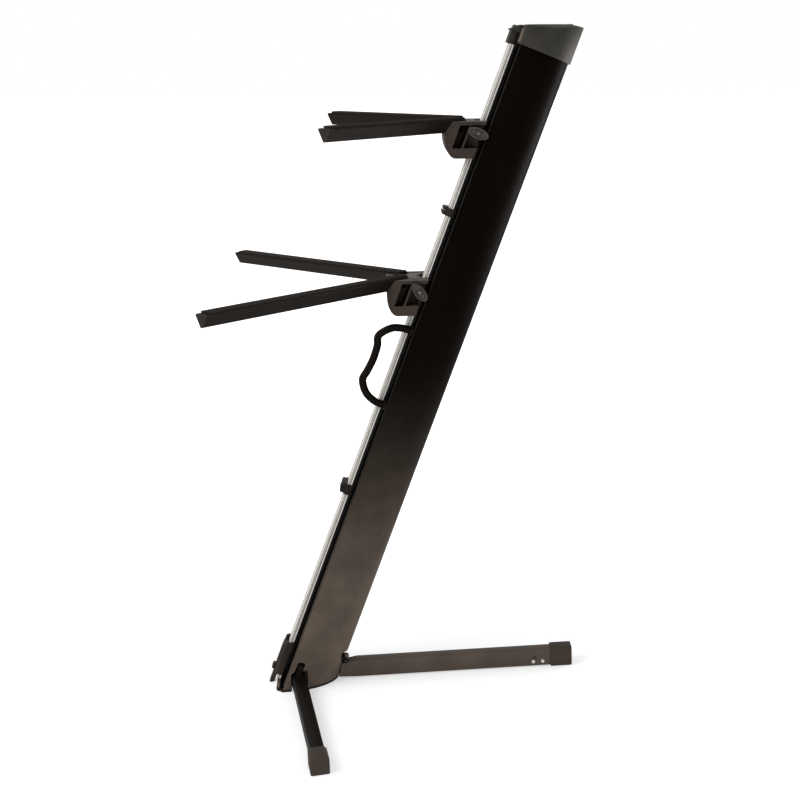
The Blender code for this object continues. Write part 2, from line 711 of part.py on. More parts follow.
def arm_section(grow=0.0, wall=0.0):
    """Triangle with its flat side up and blunt corners; the top edge is at height 0."""
    half = ARM_WIDTH / 2 + grow - wall * 1.6
    top = grow - wall
    bottom = -ARM_HEIGHT - grow * 1.8 + wall * 2.0
    corners = [(-half, top), (0.0, bottom), (half, top)]
    return round_corners(corners, max(ARM_EDGE + grow - wall * 0.5, 0.0004), steps=2)


def arm_frame(top_z, side):
    """Placement of an arm: X across it, Y up and Z outward along it."""
    sign = 1 if side == "right" else -1
    outward = Vector((sign * sin(ARM_SPLAY), -cos(ARM_SPLAY), 0))
    across = UP.cross(outward)
    height = top_z + ARM_PROUD
    start_y = FRONT_LINE_Y + ARM_ORIGIN_U + top_z * tan(LEAN)
    return frame_from(Vector((sign * ARM_ORIGIN_X, start_y, height)), across, UP, outward)


def make_arms(tier, top_z, reach, looks, axis):
    for side in ("left", "right"):
        frame = arm_frame(top_z, side)
        name = tier + "_" + side
        end = reach - PLUG_FLANGE - SEAT
        tube = extrude(arm_section(), ARM_ROOT, end, frame, holes=(arm_section(0.0, ARM_WALL),))
        make_object(name + "_arm", tube, looks["arm"], axis)
        half = STRIP_WIDTH / 2
        low = SEAT
        high = SEAT + STRIP_THICKNESS
        crown = [(-half, low), (half, low), (half, high - 0.001), (half - 0.001, high),
                 (0.001 - half, high), (-half, high - 0.001)]
        strip = extrude(crown, ARM_ROOT + STRIP_ROOT_INSET, reach - STRIP_TIP_INSET, frame)
        make_object(name + "_arm_strip", strip, looks["strip"], axis)
        plug = make_object(name + "_arm_plug",
                           extrude(arm_section(), reach - PLUG_FLANGE, reach, frame),
                           looks["cap_rubber"], axis)
        core = extrude(arm_section(-0.0004, ARM_WALL), reach - PLUG_LENGTH, reach - PLUG_FLANGE / 2, frame)
        combine(plug, core, "UNION")


def bracket_profile(top_z):
    """Side view of a tier bracket in Y and Z, with the nose that curves under."""
    front = FRONT_LINE_Y + BRACKET_FRONT_U + top_z * tan(LEAN)
    bottom = top_z - BRACKET_HEIGHT
    back_top = FRONT_LINE_Y + 0.02 + top_z * tan(LEAN)
    back_bottom = FRONT_LINE_Y + 0.02 + bottom * tan(LEAN)
    points = [(back_bottom, bottom), (back_top, top_z), (front, top_z)]
    steps = 7
    fall = BRACKET_HEIGHT - NOSE_DROP
    for i in range(steps + 1):
        turn = pi / 2 * i / steps
        points.append((front + NOSE_SWEEP * (1 - cos(turn)), top_z - NOSE_DROP - fall * sin(turn)))
    return points


def make_bracket(tier, top_z, looks, axis):
    """Hollow cast bracket that runs on the rail and carries the two arms."""
    sideways = frame_from(Vector((0, 0, 0)), REARWARD, UP, RIGHT)
    half = BRACKET_HALF_WIDTH
    front = depth_of(BRACKET_FRONT_U)
    back = depth_of(BRACKET_BACK_U)
    middle = (top_z - BRACKET_HEIGHT / 2) / cos(LEAN)
    low = middle - 0.12
    high = middle + 0.12

    body = extrude(bracket_profile(top_z), -half, half, sideways)
    casting = make_object(tier + "_bracket", body, looks["bracket"], axis)
    corners = box_outline(-half - 0.001, half + 0.001, front, back)
    plan = round_corners(corners, [BRACKET_CORNER, BRACKET_CORNER, 0, 0], steps=5)
    combine(casting, extrude(plan, low, high, COLUMN), "INTERSECT")

    def sheared_box(x_low, x_high, u_low, u_high, z_low, z_high):
        """Box with level top and bottom whose front and back lean with the column."""
        outline = []
        for u, z in ((u_low, z_low), (u_high, z_low), (u_high, z_high), (u_low, z_high)):
            outline.append((FRONT_LINE_Y + u + z * tan(LEAN), z))
        return extrude(outline, x_low, x_high, sideways)

    ceiling = top_z - BRACKET_PLATE
    bar_top = top_z - BRACKET_HEIGHT + BRACKET_BAR
    floor = top_z - BRACKET_HEIGHT + BRACKET_WALL
    inner = half - BRACKET_WALL
    chamber_front = BRACKET_FRONT_U + BRACKET_WALL + NOSE_SWEEP
    web = BRACKET_WEB_HALF_WIDTH
    reach = half + 0.01
    chamber_back = WINDOW_BACK_U - CHAMBER_STEP
    for near, far in ((web + CHAMBER_STEP, inner), (-inner, -web - CHAMBER_STEP)):
        chamber = sheared_box(near, far, chamber_front, chamber_back, floor, top_z - SOCKET_FLOOR)
        combine(casting, chamber, "DIFFERENCE")
    for near, far in ((web, reach), (-reach, -web)):
        window = sheared_box(near, far, WINDOW_FRONT_U, WINDOW_BACK_U, bar_top, ceiling)
        combine(casting, window, "DIFFERENCE")
    right = sheared_box(CHEEK_HALF_WIDTH, reach, RIB_BACK_U, 0.03, bar_top, ceiling)
    left = sheared_box(-reach, -CHEEK_HALF_WIDTH, RIB_BACK_U, 0.03, bar_top, ceiling)
    combine(casting, merge(right, left), "DIFFERENCE")
    grooves = [sheared_box(near, near + PLATE_GROOVE_WIDTH, PLATE_GROOVE_U, 0.03,
                           top_z - PLATE_GROOVE_DEPTH, top_z + 0.01)
               for near in (PLATE_GROOVE_X, -PLATE_GROOVE_X - PLATE_GROOVE_WIDTH)]
    combine(casting, merge(*grooves), "DIFFERENCE")
    channel_half = RAIL_HALF_WIDTH + SLIDE_FIT
    channel = extrude(box_outline(-channel_half, channel_half, RAIL_FRONT - SLIDE_FIT, 0.01), low, high, COLUMN)
    combine(casting, channel, "DIFFERENCE")
    notch = extrude(circle(TOP_NOTCH_RADIUS, 32), ceiling / cos(LEAN) - 0.004, high, COLUMN)
    combine(casting, notch, "DIFFERENCE")
    for side in ("left", "right"):
        groove = extrude(arm_section(SEAT), ARM_ROOT - 0.0006, 0.12, arm_frame(top_z, side))
        combine(casting, groove, "DIFFERENCE")
    knob_line = knob_frame(top_z)
    bore = extrude(circle(STUD_RADIUS + STUD_FIT, 16), -0.08, 0.08, knob_line)
    combine(casting, bore, "DIFFERENCE")
    add_bevel(casting, 0.0006, 1, radians(50))

    jaw_front = RAIL_FLANGE_BACK + SEAT
    centre = knob_along(top_z)
    for side, sign in (("right", 1), ("left", -1)):
        edges = sorted((sign * JAW_INNER_X, sign * CHEEK_HALF_WIDTH))
        outline = box_outline(edges[0], edges[1], jaw_front, jaw_front + JAW_THICKNESS)
        jaw = extrude(outline, centre - JAW_LENGTH / 2, centre + JAW_LENGTH / 2, COLUMN)
        make_object(tier + "_" + side + "_clamp_jaw", jaw, looks["casting"], axis)


def knob_along(top_z):
    """Distance up the column at which a tier's clamp knobs sit."""
    return (top_z - KNOB_DROP + KNOB_DEPTH * sin(LEAN)) / cos(LEAN)


def knob_frame(top_z):
    centre = in_column(0, KNOB_DEPTH, knob_along(top_z))
    return frame_from(centre, INTO_COLUMN, UP_COLUMN, RIGHT)


def make_knob(tier, side, top_z, turned, looks, parent):
    """Oval clamp knob outside the column's edge, with its stud and centre screw."""
    sign = 1 if side == "right" else -1
    base = knob_frame(top_z)
    centre = base @ Vector((0, 0, sign * KNOB_INNER_X))
    empty = make_axis(tier + "_" + side + "_knob_axis", centre, parent)
    turn = mirrored if side == "left" else (lambda bm: bm)
    frame = base @ Matrix.Rotation(turned, 4, "Z")
    name = tier + "_" + side + "_knob"
    outer = KNOB_INNER_X + KNOB_THICKNESS
    body = extrude(oval(KNOB_LONG, KNOB_SHORT), KNOB_INNER_X, outer, frame)
    knob = make_object(name, turn(body), looks["knob"], empty, radians(35))
    hub = extrude(circle(KNOB_HUB_RADIUS, 20), BRACKET_HALF_WIDTH + 0.0010, KNOB_INNER_X + 0.002, frame)
    combine(knob, turn(hub), "UNION")
    bore = extrude(circle(STUD_RADIUS + STUD_FIT, 16), 0.03, outer + 0.01, frame)
    combine(knob, turn(bore), "DIFFERENCE")
    add_bevel(knob, 0.0016, 2, radians(50))
    tip = RAIL_HALF_WIDTH + STUD_TIP_GAP
    stud = extrude(circle(STUD_RADIUS, 16), tip, outer + SCREW_HEAD_HEIGHT, frame)
    make_object(name + "_screw", turn(stud), looks["steel"], empty, radians(40))


def handle_route():
    """Centre line of the carry handle, as depth and along: two bends and a slight waist."""
    middle = (HANDLE_TOP + HANDLE_BOTTOM) / 2
    half = (HANDLE_TOP - HANDLE_BOTTOM) / 2
    front = -HANDLE_REACH
    root = -HANDLE_FOOT_THICKNESS - 2 * SEAT
    knots = [
        (root - 0.005, middle + half),
        (-0.0230, middle + half - 0.002),
        (-0.0400, middle + half - 0.009),
        (front, middle + half - 0.028),
        (front + HANDLE_WAIST * 0.8, middle + 0.026),
        (front + HANDLE_WAIST, middle),
        (front + HANDLE_WAIST * 0.5, middle - 0.022),
        (front, middle - half + 0.032),
        (-0.0420, middle - half + 0.012),
        (-0.0230, middle - half + 0.002),
        (root - 0.005, middle - half),
    ]
    points = [Vector((root, middle + half))]
    last = len(knots) - 1
    for i in range(last):
        here = Vector(knots[i])
        there = Vector(knots[i + 1])
        before = Vector(knots[i - 1]) if i > 0 else here * 2 - there
        after = Vector(knots[i + 2]) if i + 2 <= last else there * 2 - here
        for k in range(4):
            t = k / 4
            pull = (there - before) / 2
            push = (after - here) / 2
            points.append(here * (2 * t ** 3 - 3 * t ** 2 + 1) + pull * (t ** 3 - 2 * t ** 2 + t)
                          + there * (3 * t ** 2 - 2 * t ** 3) + push * (t ** 3 - t ** 2))
    points.append(Vector(knots[last]))
    points.append(Vector((root, middle - half)))
    return points


def make_handle(looks):
    curve = bpy.data.curves.new("carry_handle", "CURVE")
    curve.dimensions = "3D"
    curve.bevel_depth = HANDLE_RADIUS
    curve.bevel_resolution = 4
    curve.use_fill_caps = True
    spline = curve.splines.new("POLY")
    route = handle_route()
    spline.points.add(len(route) - 1)
    for point, place in zip(spline.points, route):
        point.co = (*in_column(HANDLE_X, place[0], place[1]), 1)
    curve.materials.append(looks["handle"])
    thing = bpy.data.objects.new("carry_handle", curve)
    bpy.context.scene.collection.objects.link(thing)
    for name, place in (("handle_foot_top", route[0]), ("handle_foot_bottom", route[-1])):
        foot_frame = frame_from(in_column(HANDLE_X, 0, place[1]), UP_COLUMN, RIGHT, INTO_COLUMN)
        foot = extrude(circle(HANDLE_FOOT_RADIUS, 20), -HANDLE_FOOT_THICKNESS - SEAT, -SEAT, foot_frame)
        make_object(name, foot, looks["plastic"], smooth=radians(40))


def make_clip(name, start, height, looks):
    """Cable clip that snaps over the rail, with two lobes that hold a cable."""
    end = start + height
    middle = (start + end) / 2
    empty = make_axis(name + "_axis", in_column(0, RAIL_FRONT, middle))
    inner = RAIL_HALF_WIDTH + SLIDE_FIT
    outer = inner + CLIP_WALL
    face = RAIL_FRONT - SLIDE_FIT
    hook_front = RAIL_FLANGE_BACK + SLIDE_FIT
    hook_back = hook_front + CLIP_WALL
    right = [(outer, face - CLIP_WALL), (outer, hook_back), (inner - CLIP_HOOK, hook_back),
             (inner - CLIP_HOOK, hook_front), (inner, hook_front), (inner, face)]
    left = [(-x, y) for x, y in reversed(right)]
    clip = make_object(name, extrude(right + left, start, end, COLUMN), looks["plastic"], empty)
    width = CLIP_LOBE_HALF_WIDTH
    root = face - CLIP_WALL / 2
    lobe = round_corners([(root, start), (root, end), (CLIP_FRONT, end), (CLIP_FRONT, start)],
                         [0, 0, 0.0035, 0.0035], steps=3)
    sideways = frame_from(Vector((0, FRONT_LINE_Y, 0)), INTO_COLUMN, UP_COLUMN, RIGHT)
    combine(clip, extrude(lobe, -width, width, sideways), "UNION")
    mouth = box_outline(CLIP_FRONT - 0.01, CLIP_CABLE_DEPTH, middle - CLIP_SLOT / 2, middle + CLIP_SLOT / 2)
    combine(clip, extrude(mouth, -width - 0.01, width + 0.01, sideways), "DIFFERENCE")
    seat = circle(CLIP_CABLE_RADIUS, 16, (CLIP_CABLE_DEPTH, middle))
    combine(clip, extrude(seat, -width - 0.01, width + 0.01, sideways), "DIFFERENCE")
    add_bevel(clip, 0.0005, 1, radians(50))


def make_latch(looks):
    """Lever latch on the rail's front face, with a foot tab near the floor."""
    half = LATCH_HALF_WIDTH
    face = RAIL_FRONT - SEAT
    sideways = frame_from(Vector((0, FRONT_LINE_Y, 0)), INTO_COLUMN, UP_COLUMN, RIGHT)
    side = round_corners([(LATCH_FRONT, LATCH_HOUSING_FOOT), (face, LATCH_HOUSING_FOOT), (face, LATCH_TOP),
                          (LATCH_FRONT, LATCH_TOP)], [0.001, 0, 0.0015, 0.004], steps=3)
    housing = make_object("latch_housing", extrude(side, -half, half, sideways), looks["plastic"])
    back = LATCH_FRONT + LEVER_THICKNESS
    width = LEVER_HALF_WIDTH + SLIDE_FIT
    recess = extrude(box_outline(-width, width, LATCH_FRONT - 0.01, back + SLIDE_FIT),
                     LATCH_HOUSING_FOOT - 0.01, LATCH_TOP - LATCH_HEAD, COLUMN)
    combine(housing, recess, "DIFFERENCE")
    middle = (back + face) / 2
    groove = LATCH_SIDE_GROOVE
    line = box_outline(middle - groove / 2, middle + groove / 2, LATCH_HOUSING_FOOT - 0.01, LATCH_TOP - groove)
    cuts = merge(extrude(line, half - groove / 3, half + 0.01, sideways),
                 extrude(line, -half - 0.01, groove / 3 - half, sideways))
    combine(housing, cuts, "DIFFERENCE")

    place = (LATCH_FRONT + LEVER_THICKNESS / 2, LEVER_PIVOT)
    empty = make_axis("latch_lever_axis", in_column(0, *place))
    lever_top = LATCH_TOP - LATCH_HEAD - SLIDE_FIT
    front_tip = (LEVER_FLOOR_GAP + LATCH_FRONT * sin(LEAN)) / cos(LEAN)
    back_tip = (LEVER_FLOOR_GAP + back * sin(LEAN)) / cos(LEAN)
    ease = LEVER_RELIEF
    outline = [(back, back_tip), (back, lever_top - ease), (back - ease / 2, lever_top),
               (LATCH_FRONT + ease, lever_top), (LATCH_FRONT, lever_top - ease)]
    step = (lever_top - ease - TAB_HIGH) / 8
    for i in range(1, 8):
        height = lever_top - ease - step * i
        outline += [(LATCH_FRONT, height + step * 0.3), (LATCH_FRONT - LEVER_RIB, height + step * 0.2),
                    (LATCH_FRONT - LEVER_RIB, height - step * 0.2), (LATCH_FRONT, height - step * 0.3)]
    tab_front = LATCH_FRONT - TAB_REACH
    outline += [(LATCH_FRONT, TAB_HIGH), (tab_front, TAB_HIGH - 0.001),
                (tab_front, TAB_LOW + 0.001), (LATCH_FRONT, TAB_LOW), (LATCH_FRONT, front_tip)]
    lever = make_object("latch_lever", extrude(outline, -LEVER_HALF_WIDTH, LEVER_HALF_WIDTH, sideways),
                        looks["plastic"], empty)
    bore = extrude(circle(LATCH_PIN_RADIUS + SLIDE_FIT, 12, place), -half, half, sideways)
    combine(lever, bore, "DIFFERENCE")
    reach = half - 0.0015
    pin_hole = extrude(circle(LATCH_PIN_RADIUS + SEAT, 12, place), -reach, reach, sideways)
    combine(housing, pin_hole, "DIFFERENCE")
    pin = extrude(circle(LATCH_PIN_RADIUS, 12, place), SEAT - reach, reach - SEAT, sideways)
    make_object("latch_pin", pin, looks["steel"], smooth=radians(40))


def build():
    collect_scene()
    looks = {
        "column": make_material("column_black", (0.020, 0.017, 0.015), 0.38, 0.5),
        "rail": make_material("rail_aluminium", (0.70, 0.68, 0.66), 0.35, 1.0),
        "cap": make_material("cap_plastic", (0.035, 0.034, 0.031), 0.55, 0.0),
        "boot": make_material("boot_paint", (0.030, 0.026, 0.023), 0.45, 0.3),
        "rubber": make_material("sole_rubber", (0.012, 0.012, 0.012), 0.80, 0.0),
        "leg": make_material("leg_paint", (0.040, 0.036, 0.034), 0.42, 0.3),
        "casting": make_material("casting_black", (0.018, 0.017, 0.017), 0.50, 0.4),
        "cap_rubber": make_material("foot_plastic", (0.030, 0.028, 0.028), 0.60, 0.0),
        "steel": make_material("bright_steel", (0.80, 0.80, 0.80), 0.25, 1.0),
        "steel_dark": make_material("dark_steel", (0.10, 0.10, 0.10), 0.40, 0.8),
        "bracket": make_material("bracket_grey", (0.060, 0.056, 0.053), 0.48, 0.3),
        "arm": make_material("arm_black", (0.022, 0.018, 0.017), 0.40, 0.4),
        "strip": make_material("strip_rubber", (0.015, 0.016, 0.015), 0.75, 0.0),
        "knob": make_material("knob_plastic", (0.050, 0.047, 0.045), 0.50, 0.0),
        "handle": make_material("handle_grip", (0.020, 0.019, 0.018), 0.55, 0.0),
        "plastic": make_material("black_plastic", (0.040, 0.036, 0.035), 0.50, 0.0),
    }
    make_column(looks)
    make_cap(looks)
    make_boot(looks)
    make_side_leg("right", looks)
    make_side_leg("left", looks)
    make_rear_leg(looks)
    for tier, top_z, reach, turned in (("lower", LOWER_TOP_Z, LOWER_ARM_REACH, LOWER_KNOB_TURN),
                                       ("upper", UPPER_TOP_Z, UPPER_ARM_REACH, 0.0)):
        axis = make_axis(tier + "_tier_axis", in_column(0, RAIL_FRONT, knob_along(top_z)))
        make_bracket(tier, top_z, looks, axis)
        make_arms(tier, top_z, reach, looks, axis)
        for side in ("left", "right"):
            make_knob(tier, side, top_z, turned, looks, axis)
    make_handle(looks)
    make_clip("upper_cable_clip", UPPER_CLIP, UPPER_CLIP_HEIGHT, looks)
    make_clip("lower_cable_clip", LOWER_CLIP, LOWER_CLIP_HEIGHT, looks)
    make_latch(looks)


build()
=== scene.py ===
"""Looks of a leaning column keyboard stand, laid out as a Blender add-on.

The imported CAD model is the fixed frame. Each operator dresses one group of
its pieces, and the last one sets the stage. Lengths are in metres.
"""

import json
from math import cos, pi, radians, sin, tan

import bmesh
import bpy
from bpy.props import FloatProperty, FloatVectorProperty, IntProperty, PointerProperty
from bpy.types import Operator, Panel, PropertyGroup
from mathutils import Matrix, Vector


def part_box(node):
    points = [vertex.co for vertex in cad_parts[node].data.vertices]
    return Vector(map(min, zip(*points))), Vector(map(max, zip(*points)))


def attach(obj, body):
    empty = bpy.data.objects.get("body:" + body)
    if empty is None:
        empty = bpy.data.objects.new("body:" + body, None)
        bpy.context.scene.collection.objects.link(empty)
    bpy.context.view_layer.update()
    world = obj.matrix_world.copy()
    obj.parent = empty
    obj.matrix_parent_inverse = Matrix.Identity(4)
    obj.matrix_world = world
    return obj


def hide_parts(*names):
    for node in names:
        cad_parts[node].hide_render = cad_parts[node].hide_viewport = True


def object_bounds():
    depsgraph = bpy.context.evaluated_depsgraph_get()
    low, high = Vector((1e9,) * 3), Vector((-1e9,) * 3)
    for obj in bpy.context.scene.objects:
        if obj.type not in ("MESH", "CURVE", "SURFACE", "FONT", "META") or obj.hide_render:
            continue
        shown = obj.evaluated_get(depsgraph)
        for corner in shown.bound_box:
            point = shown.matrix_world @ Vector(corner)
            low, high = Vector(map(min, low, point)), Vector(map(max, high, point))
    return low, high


bl_info = {
    "name": "Column keyboard stand",
    "version": (1, 0, 0),
    "blender": (4, 5, 0),
    "location": "3D View > Sidebar > Stand",
    "description": "Finishes, small parts and studio for a column keyboard stand",
    "category": "Object",
}

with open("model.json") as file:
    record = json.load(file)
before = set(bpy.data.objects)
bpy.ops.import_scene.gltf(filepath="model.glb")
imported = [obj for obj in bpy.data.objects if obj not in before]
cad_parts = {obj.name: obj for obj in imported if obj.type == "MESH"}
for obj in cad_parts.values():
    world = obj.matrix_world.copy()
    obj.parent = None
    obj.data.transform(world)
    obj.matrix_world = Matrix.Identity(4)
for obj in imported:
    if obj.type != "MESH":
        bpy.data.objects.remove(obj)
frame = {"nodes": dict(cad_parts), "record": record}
CAD_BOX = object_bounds()
BODY_OF = {node: body for body, nodes in frame["record"]["behaviour"]["bodies"].items() for node in nodes}
SLOT_OF = {row["node"]: row["material_slot"] for row in frame["record"]["subparts"]}
SIDES = {"right": 1, "left": -1}


def placement(centre, *axes):
    """Matrix of a place whose X, Y and Z run along three axes."""
    return Matrix.Translation(centre) @ Matrix(axes).transposed().to_4x4()


# Column, with X to the right, Y into the column from its front face and Z up along it
LEAN = radians(21.46)
FRONT_LINE_Y = -0.045
UP = Vector((0, 0, 1))
RIGHT = Vector((1, 0, 0))
UP_COLUMN = Vector((0, sin(LEAN), cos(LEAN)))
INTO_COLUMN = Vector((0, cos(LEAN), -sin(LEAN)))
COLUMN = placement((0, FRONT_LINE_Y, 0), RIGHT, INTO_COLUMN, UP_COLUMN)
COLUMN_HALF_WIDTH = 0.0555
COLUMN_LOW = 0.0135
COLUMN_HIGH = 1.2500
CORNER_BEAD_INSET = 0.90
CORNER_BEAD_SINK = 0.45
CORNER_BEAD_SIDES = 12

# Share to which what stands out from the column's face is drawn in, and where that puts the rail
RAIL_DRAW = 0.80
RAIL_FRONT = -0.0180 * RAIL_DRAW
FLANGE_BACK = -0.0078 * RAIL_DRAW
# Painted shade: the channel behind the rail's flange, and hollows, are coloured near black where shade falls
CHANNEL_SLACK = 0.0003
CHANNEL_BACK = 0.0013
CHANNEL_PAINTED_SHADE = (0.0006, 0.0005, 0.0005)

# Cap: the crown's front is lifted above a height, by most at the column's face and by nothing at a depth
CROWN_LOW = 1.1900
CROWN_LIFT = 0.0055
CROWN_RUN = 0.045
CROWN_GAP = 0.0002
CAP_BEAD_X = 0.0545
CAP_BEAD_DEPTH = -0.0030
CAP_BEAD_SPAN = (1.2530, 1.2775)
CAP_BEAD_SIDES = 16
BROW_HALF_WIDTH = 0.0360
BROW_EDGE = 0.0008
BROW_PROFILE = ((-0.0215, 1.2690), (-0.0215, 1.2712), (-0.0195, 1.2722), (-0.0085, 1.2826), (0.0060, 1.2795),
                (0.0060, 1.2690))

# Latch; outlines are in the column's frame, as X and depth
LATCH_HEAD_LOW = 0.0750
LATCH_HEAD_DROP = 0.0045
LEVER_TOE_LOW = -0.0088
LATCH_SPAN = (0.0165, 0.0768)
LATCH_CHEEK_FRONT = -0.0215
LATCH_CHEEK_RISE = 0.0035
CHEEK_EDGE = 0.0010
CHEEK_GAP = 0.0004
CHEEK_OUTLINE = ((0.0117, LATCH_CHEEK_FRONT), (0.0190, LATCH_CHEEK_FRONT), (0.0222, -0.0180),
                 (0.0222, FLANGE_BACK - CHEEK_GAP), (0.0204, FLANGE_BACK - CHEEK_GAP),
                 (0.0204, RAIL_FRONT - CHEEK_GAP), (0.0117, RAIL_FRONT - CHEEK_GAP))
LATCH_PAD = ((-0.0080, -0.0182), (0.0080, -0.0182), (0.0080, -0.0150), (-0.0080, -0.0150))
LATCH_PAD_SPAN = (-0.0060, 0.0145)
LATCH_PAD_EDGE = 0.0008
LATCH_STUB_X = (-0.0096, -0.0083, 0.0083, 0.0096)
LATCH_STUB_RADIUS = 0.0009
LATCH_STUB_SIDES = 16

# Legs: heights of tubes and feet in the CAD model, and those they are stretched to
TUBE_HEIGHTS = (0.0030, 0.0300)
REAR_TUBE_HEIGHTS = (0.0015, 0.0350)
FOOT_HEIGHTS = (0.0, 0.0338)
REAR_FOOT_HEIGHTS = (0.0, 0.0385)
SIDE_FOOT_HEIGHTS = (0.0, 0.0314)
STRETCH_SLACK = 0.0005
REAR_SHOULDER_Y = 0.0800
REAR_END_Y = 0.0690
REAR_END_HIGH = 0.0305
REAR_END_BEND = 0.0215
REAR_END_REACH = 0.0014
REAR_LEG_FACE_X = 0.0124

# Screws in the rear leg, and the empty hole's grommet as radii and heights
FOOT_SCREW_SEAT = 0.0004
FOOT_SCREW_NECK = 0.0002
FOOT_SCREW_RECESS = 1.1
FOOT_SCREW_RECESS_DEPTH = 0.0011
FOOT_SCREW_TURN = radians(20)
GROMMET_OFFSET = Vector((-0.0002, 0.0020, 0.0042))
GROMMET = ((0.0014, 0.0), (0.0030, 0.0), (0.0028, 0.0007), (0.0022, 0.0008), (0.0014, 0.0003))

# Tiers and their arms
TIERS = {"lower": {"top": 0.762, "reach": 0.4585, "knob_turn": radians(-32.0)},
         "upper": {"top": 1.035, "reach": 0.3365, "knob_turn": 0.0}}
ARM_SPLAY = radians(44.6)
ARM_ORIGIN = (0.0085, -0.0400)
ARM_PROUD = 0.0030
ARM_ROOT = 0.0152
STRIP_TOP = 0.0033
STRIP_EDGE = 0.0004
STRIP_INSETS = (0.0030, 0.0110)
RIB_SINK = 0.45
RIB_SIDES = 8

# Clamp knobs. Skirt and shoulder are an inset and a rise from the inner and the outer face, the dish an inset
# along and across the oval and a rise, the boss a half length, a half width and a rise, and the lead a growth
# of the bore and a rise.
KNOB_DEPTH = -0.0157
KNOB_DROP = 0.0197
KNOB_INNER_X = 0.0575
KNOB_HUB_X = 0.0530
KNOB_HUB_RADIUS = 0.0070
KNOB_BORE_GAP = 0.0003
KNOB_SKIRT = ((0.0016, 0.0), (0.0005, 0.0005), (0.0, 0.0016))
KNOB_SHOULDER = ((0.0, -0.0016), (0.0005, -0.0005), (0.0014, 0.0))
KNOB_DISH = ((0.0, 0.0, 0.0), (0.0008, 0.0007, -0.0004), (0.0018, 0.0012, -0.0026))
KNOB_BOSS = ((0.0057, 0.0055, -0.0026), (0.0051, 0.0051, -0.0005), (0.0045, 0.0045, -0.0002))
KNOB_LEAD = ((0.0004, -0.0002), (0.0, -0.0006))
STUD_TIP_X = 0.0208
CLAMP_HEAD = 0.0010
CLAMP_NECK = 0.0001
CLAMP_RECESS_DEPTH = 0.0012
CLAMP_SCREW_TURN = radians(28)

# Screws of every size: sides, share of the head's radius at its top, how far the head is sunk, slot reach
SCREW_SIDES = 24
SCREW_CHAMFER = 0.72
SCREW_SINK = 0.2
SLOT_REACH = 1.15

# Carry handle: its centre line's knots as depth and height above the middle
HANDLE_X = 0.0330
HANDLE_MIDDLE = 0.6425
HANDLE_RAISE = 0.0025
HANDLE_SIDES = 28
HANDLE_STEPS = 8
HANDLE_KNOTS = ((-0.0036, 0.0725), (-0.0230, 0.0705), (-0.0400, 0.0635), (-0.0550, 0.0445), (-0.0510, 0.0260),
                (-0.0500, 0.0), (-0.0525, -0.0220), (-0.0550, -0.0405), (-0.0420, -0.0605), (-0.0230, -0.0705),
                (-0.0036, -0.0725))

# Mesh work
WELD_DISTANCE = 1e-6
FLAT_ANGLE = radians(0.4)
SMOOTH_ANGLE = radians(34)
LOFT_ANGLE = radians(42)
BEVEL_ANGLE = radians(38)
PRISM_ANGLE = radians(30)
RING_POINTS = 56
RAIL_EDGE = 0.00025
CLIP_EDGE = 0.0003
HOUSING_EDGE = 0.0004

# Studio: each soft light's size, place and target
FLOOR_CENTRE = (0.0, 0.18, 0.0)
FLOOR_REACH = 30.0
FLOOR_GLOW = (0.45, 1.5, 0.42, 1.0)
SENSOR = 36.0
CLIP_SPAN = (0.05, 120.0)
LIGHTS = {"key": (2.6, (0.9, -2.6, 3.0), (0, 0.15, 0.6)),
          "low": (1.1, (1.9, 0.5, 0.35), (0, 0.1, 0.25)),
          "rim": (0.9, (-0.9, 2.3, 0.05), (0, 0.1, 0.12))}
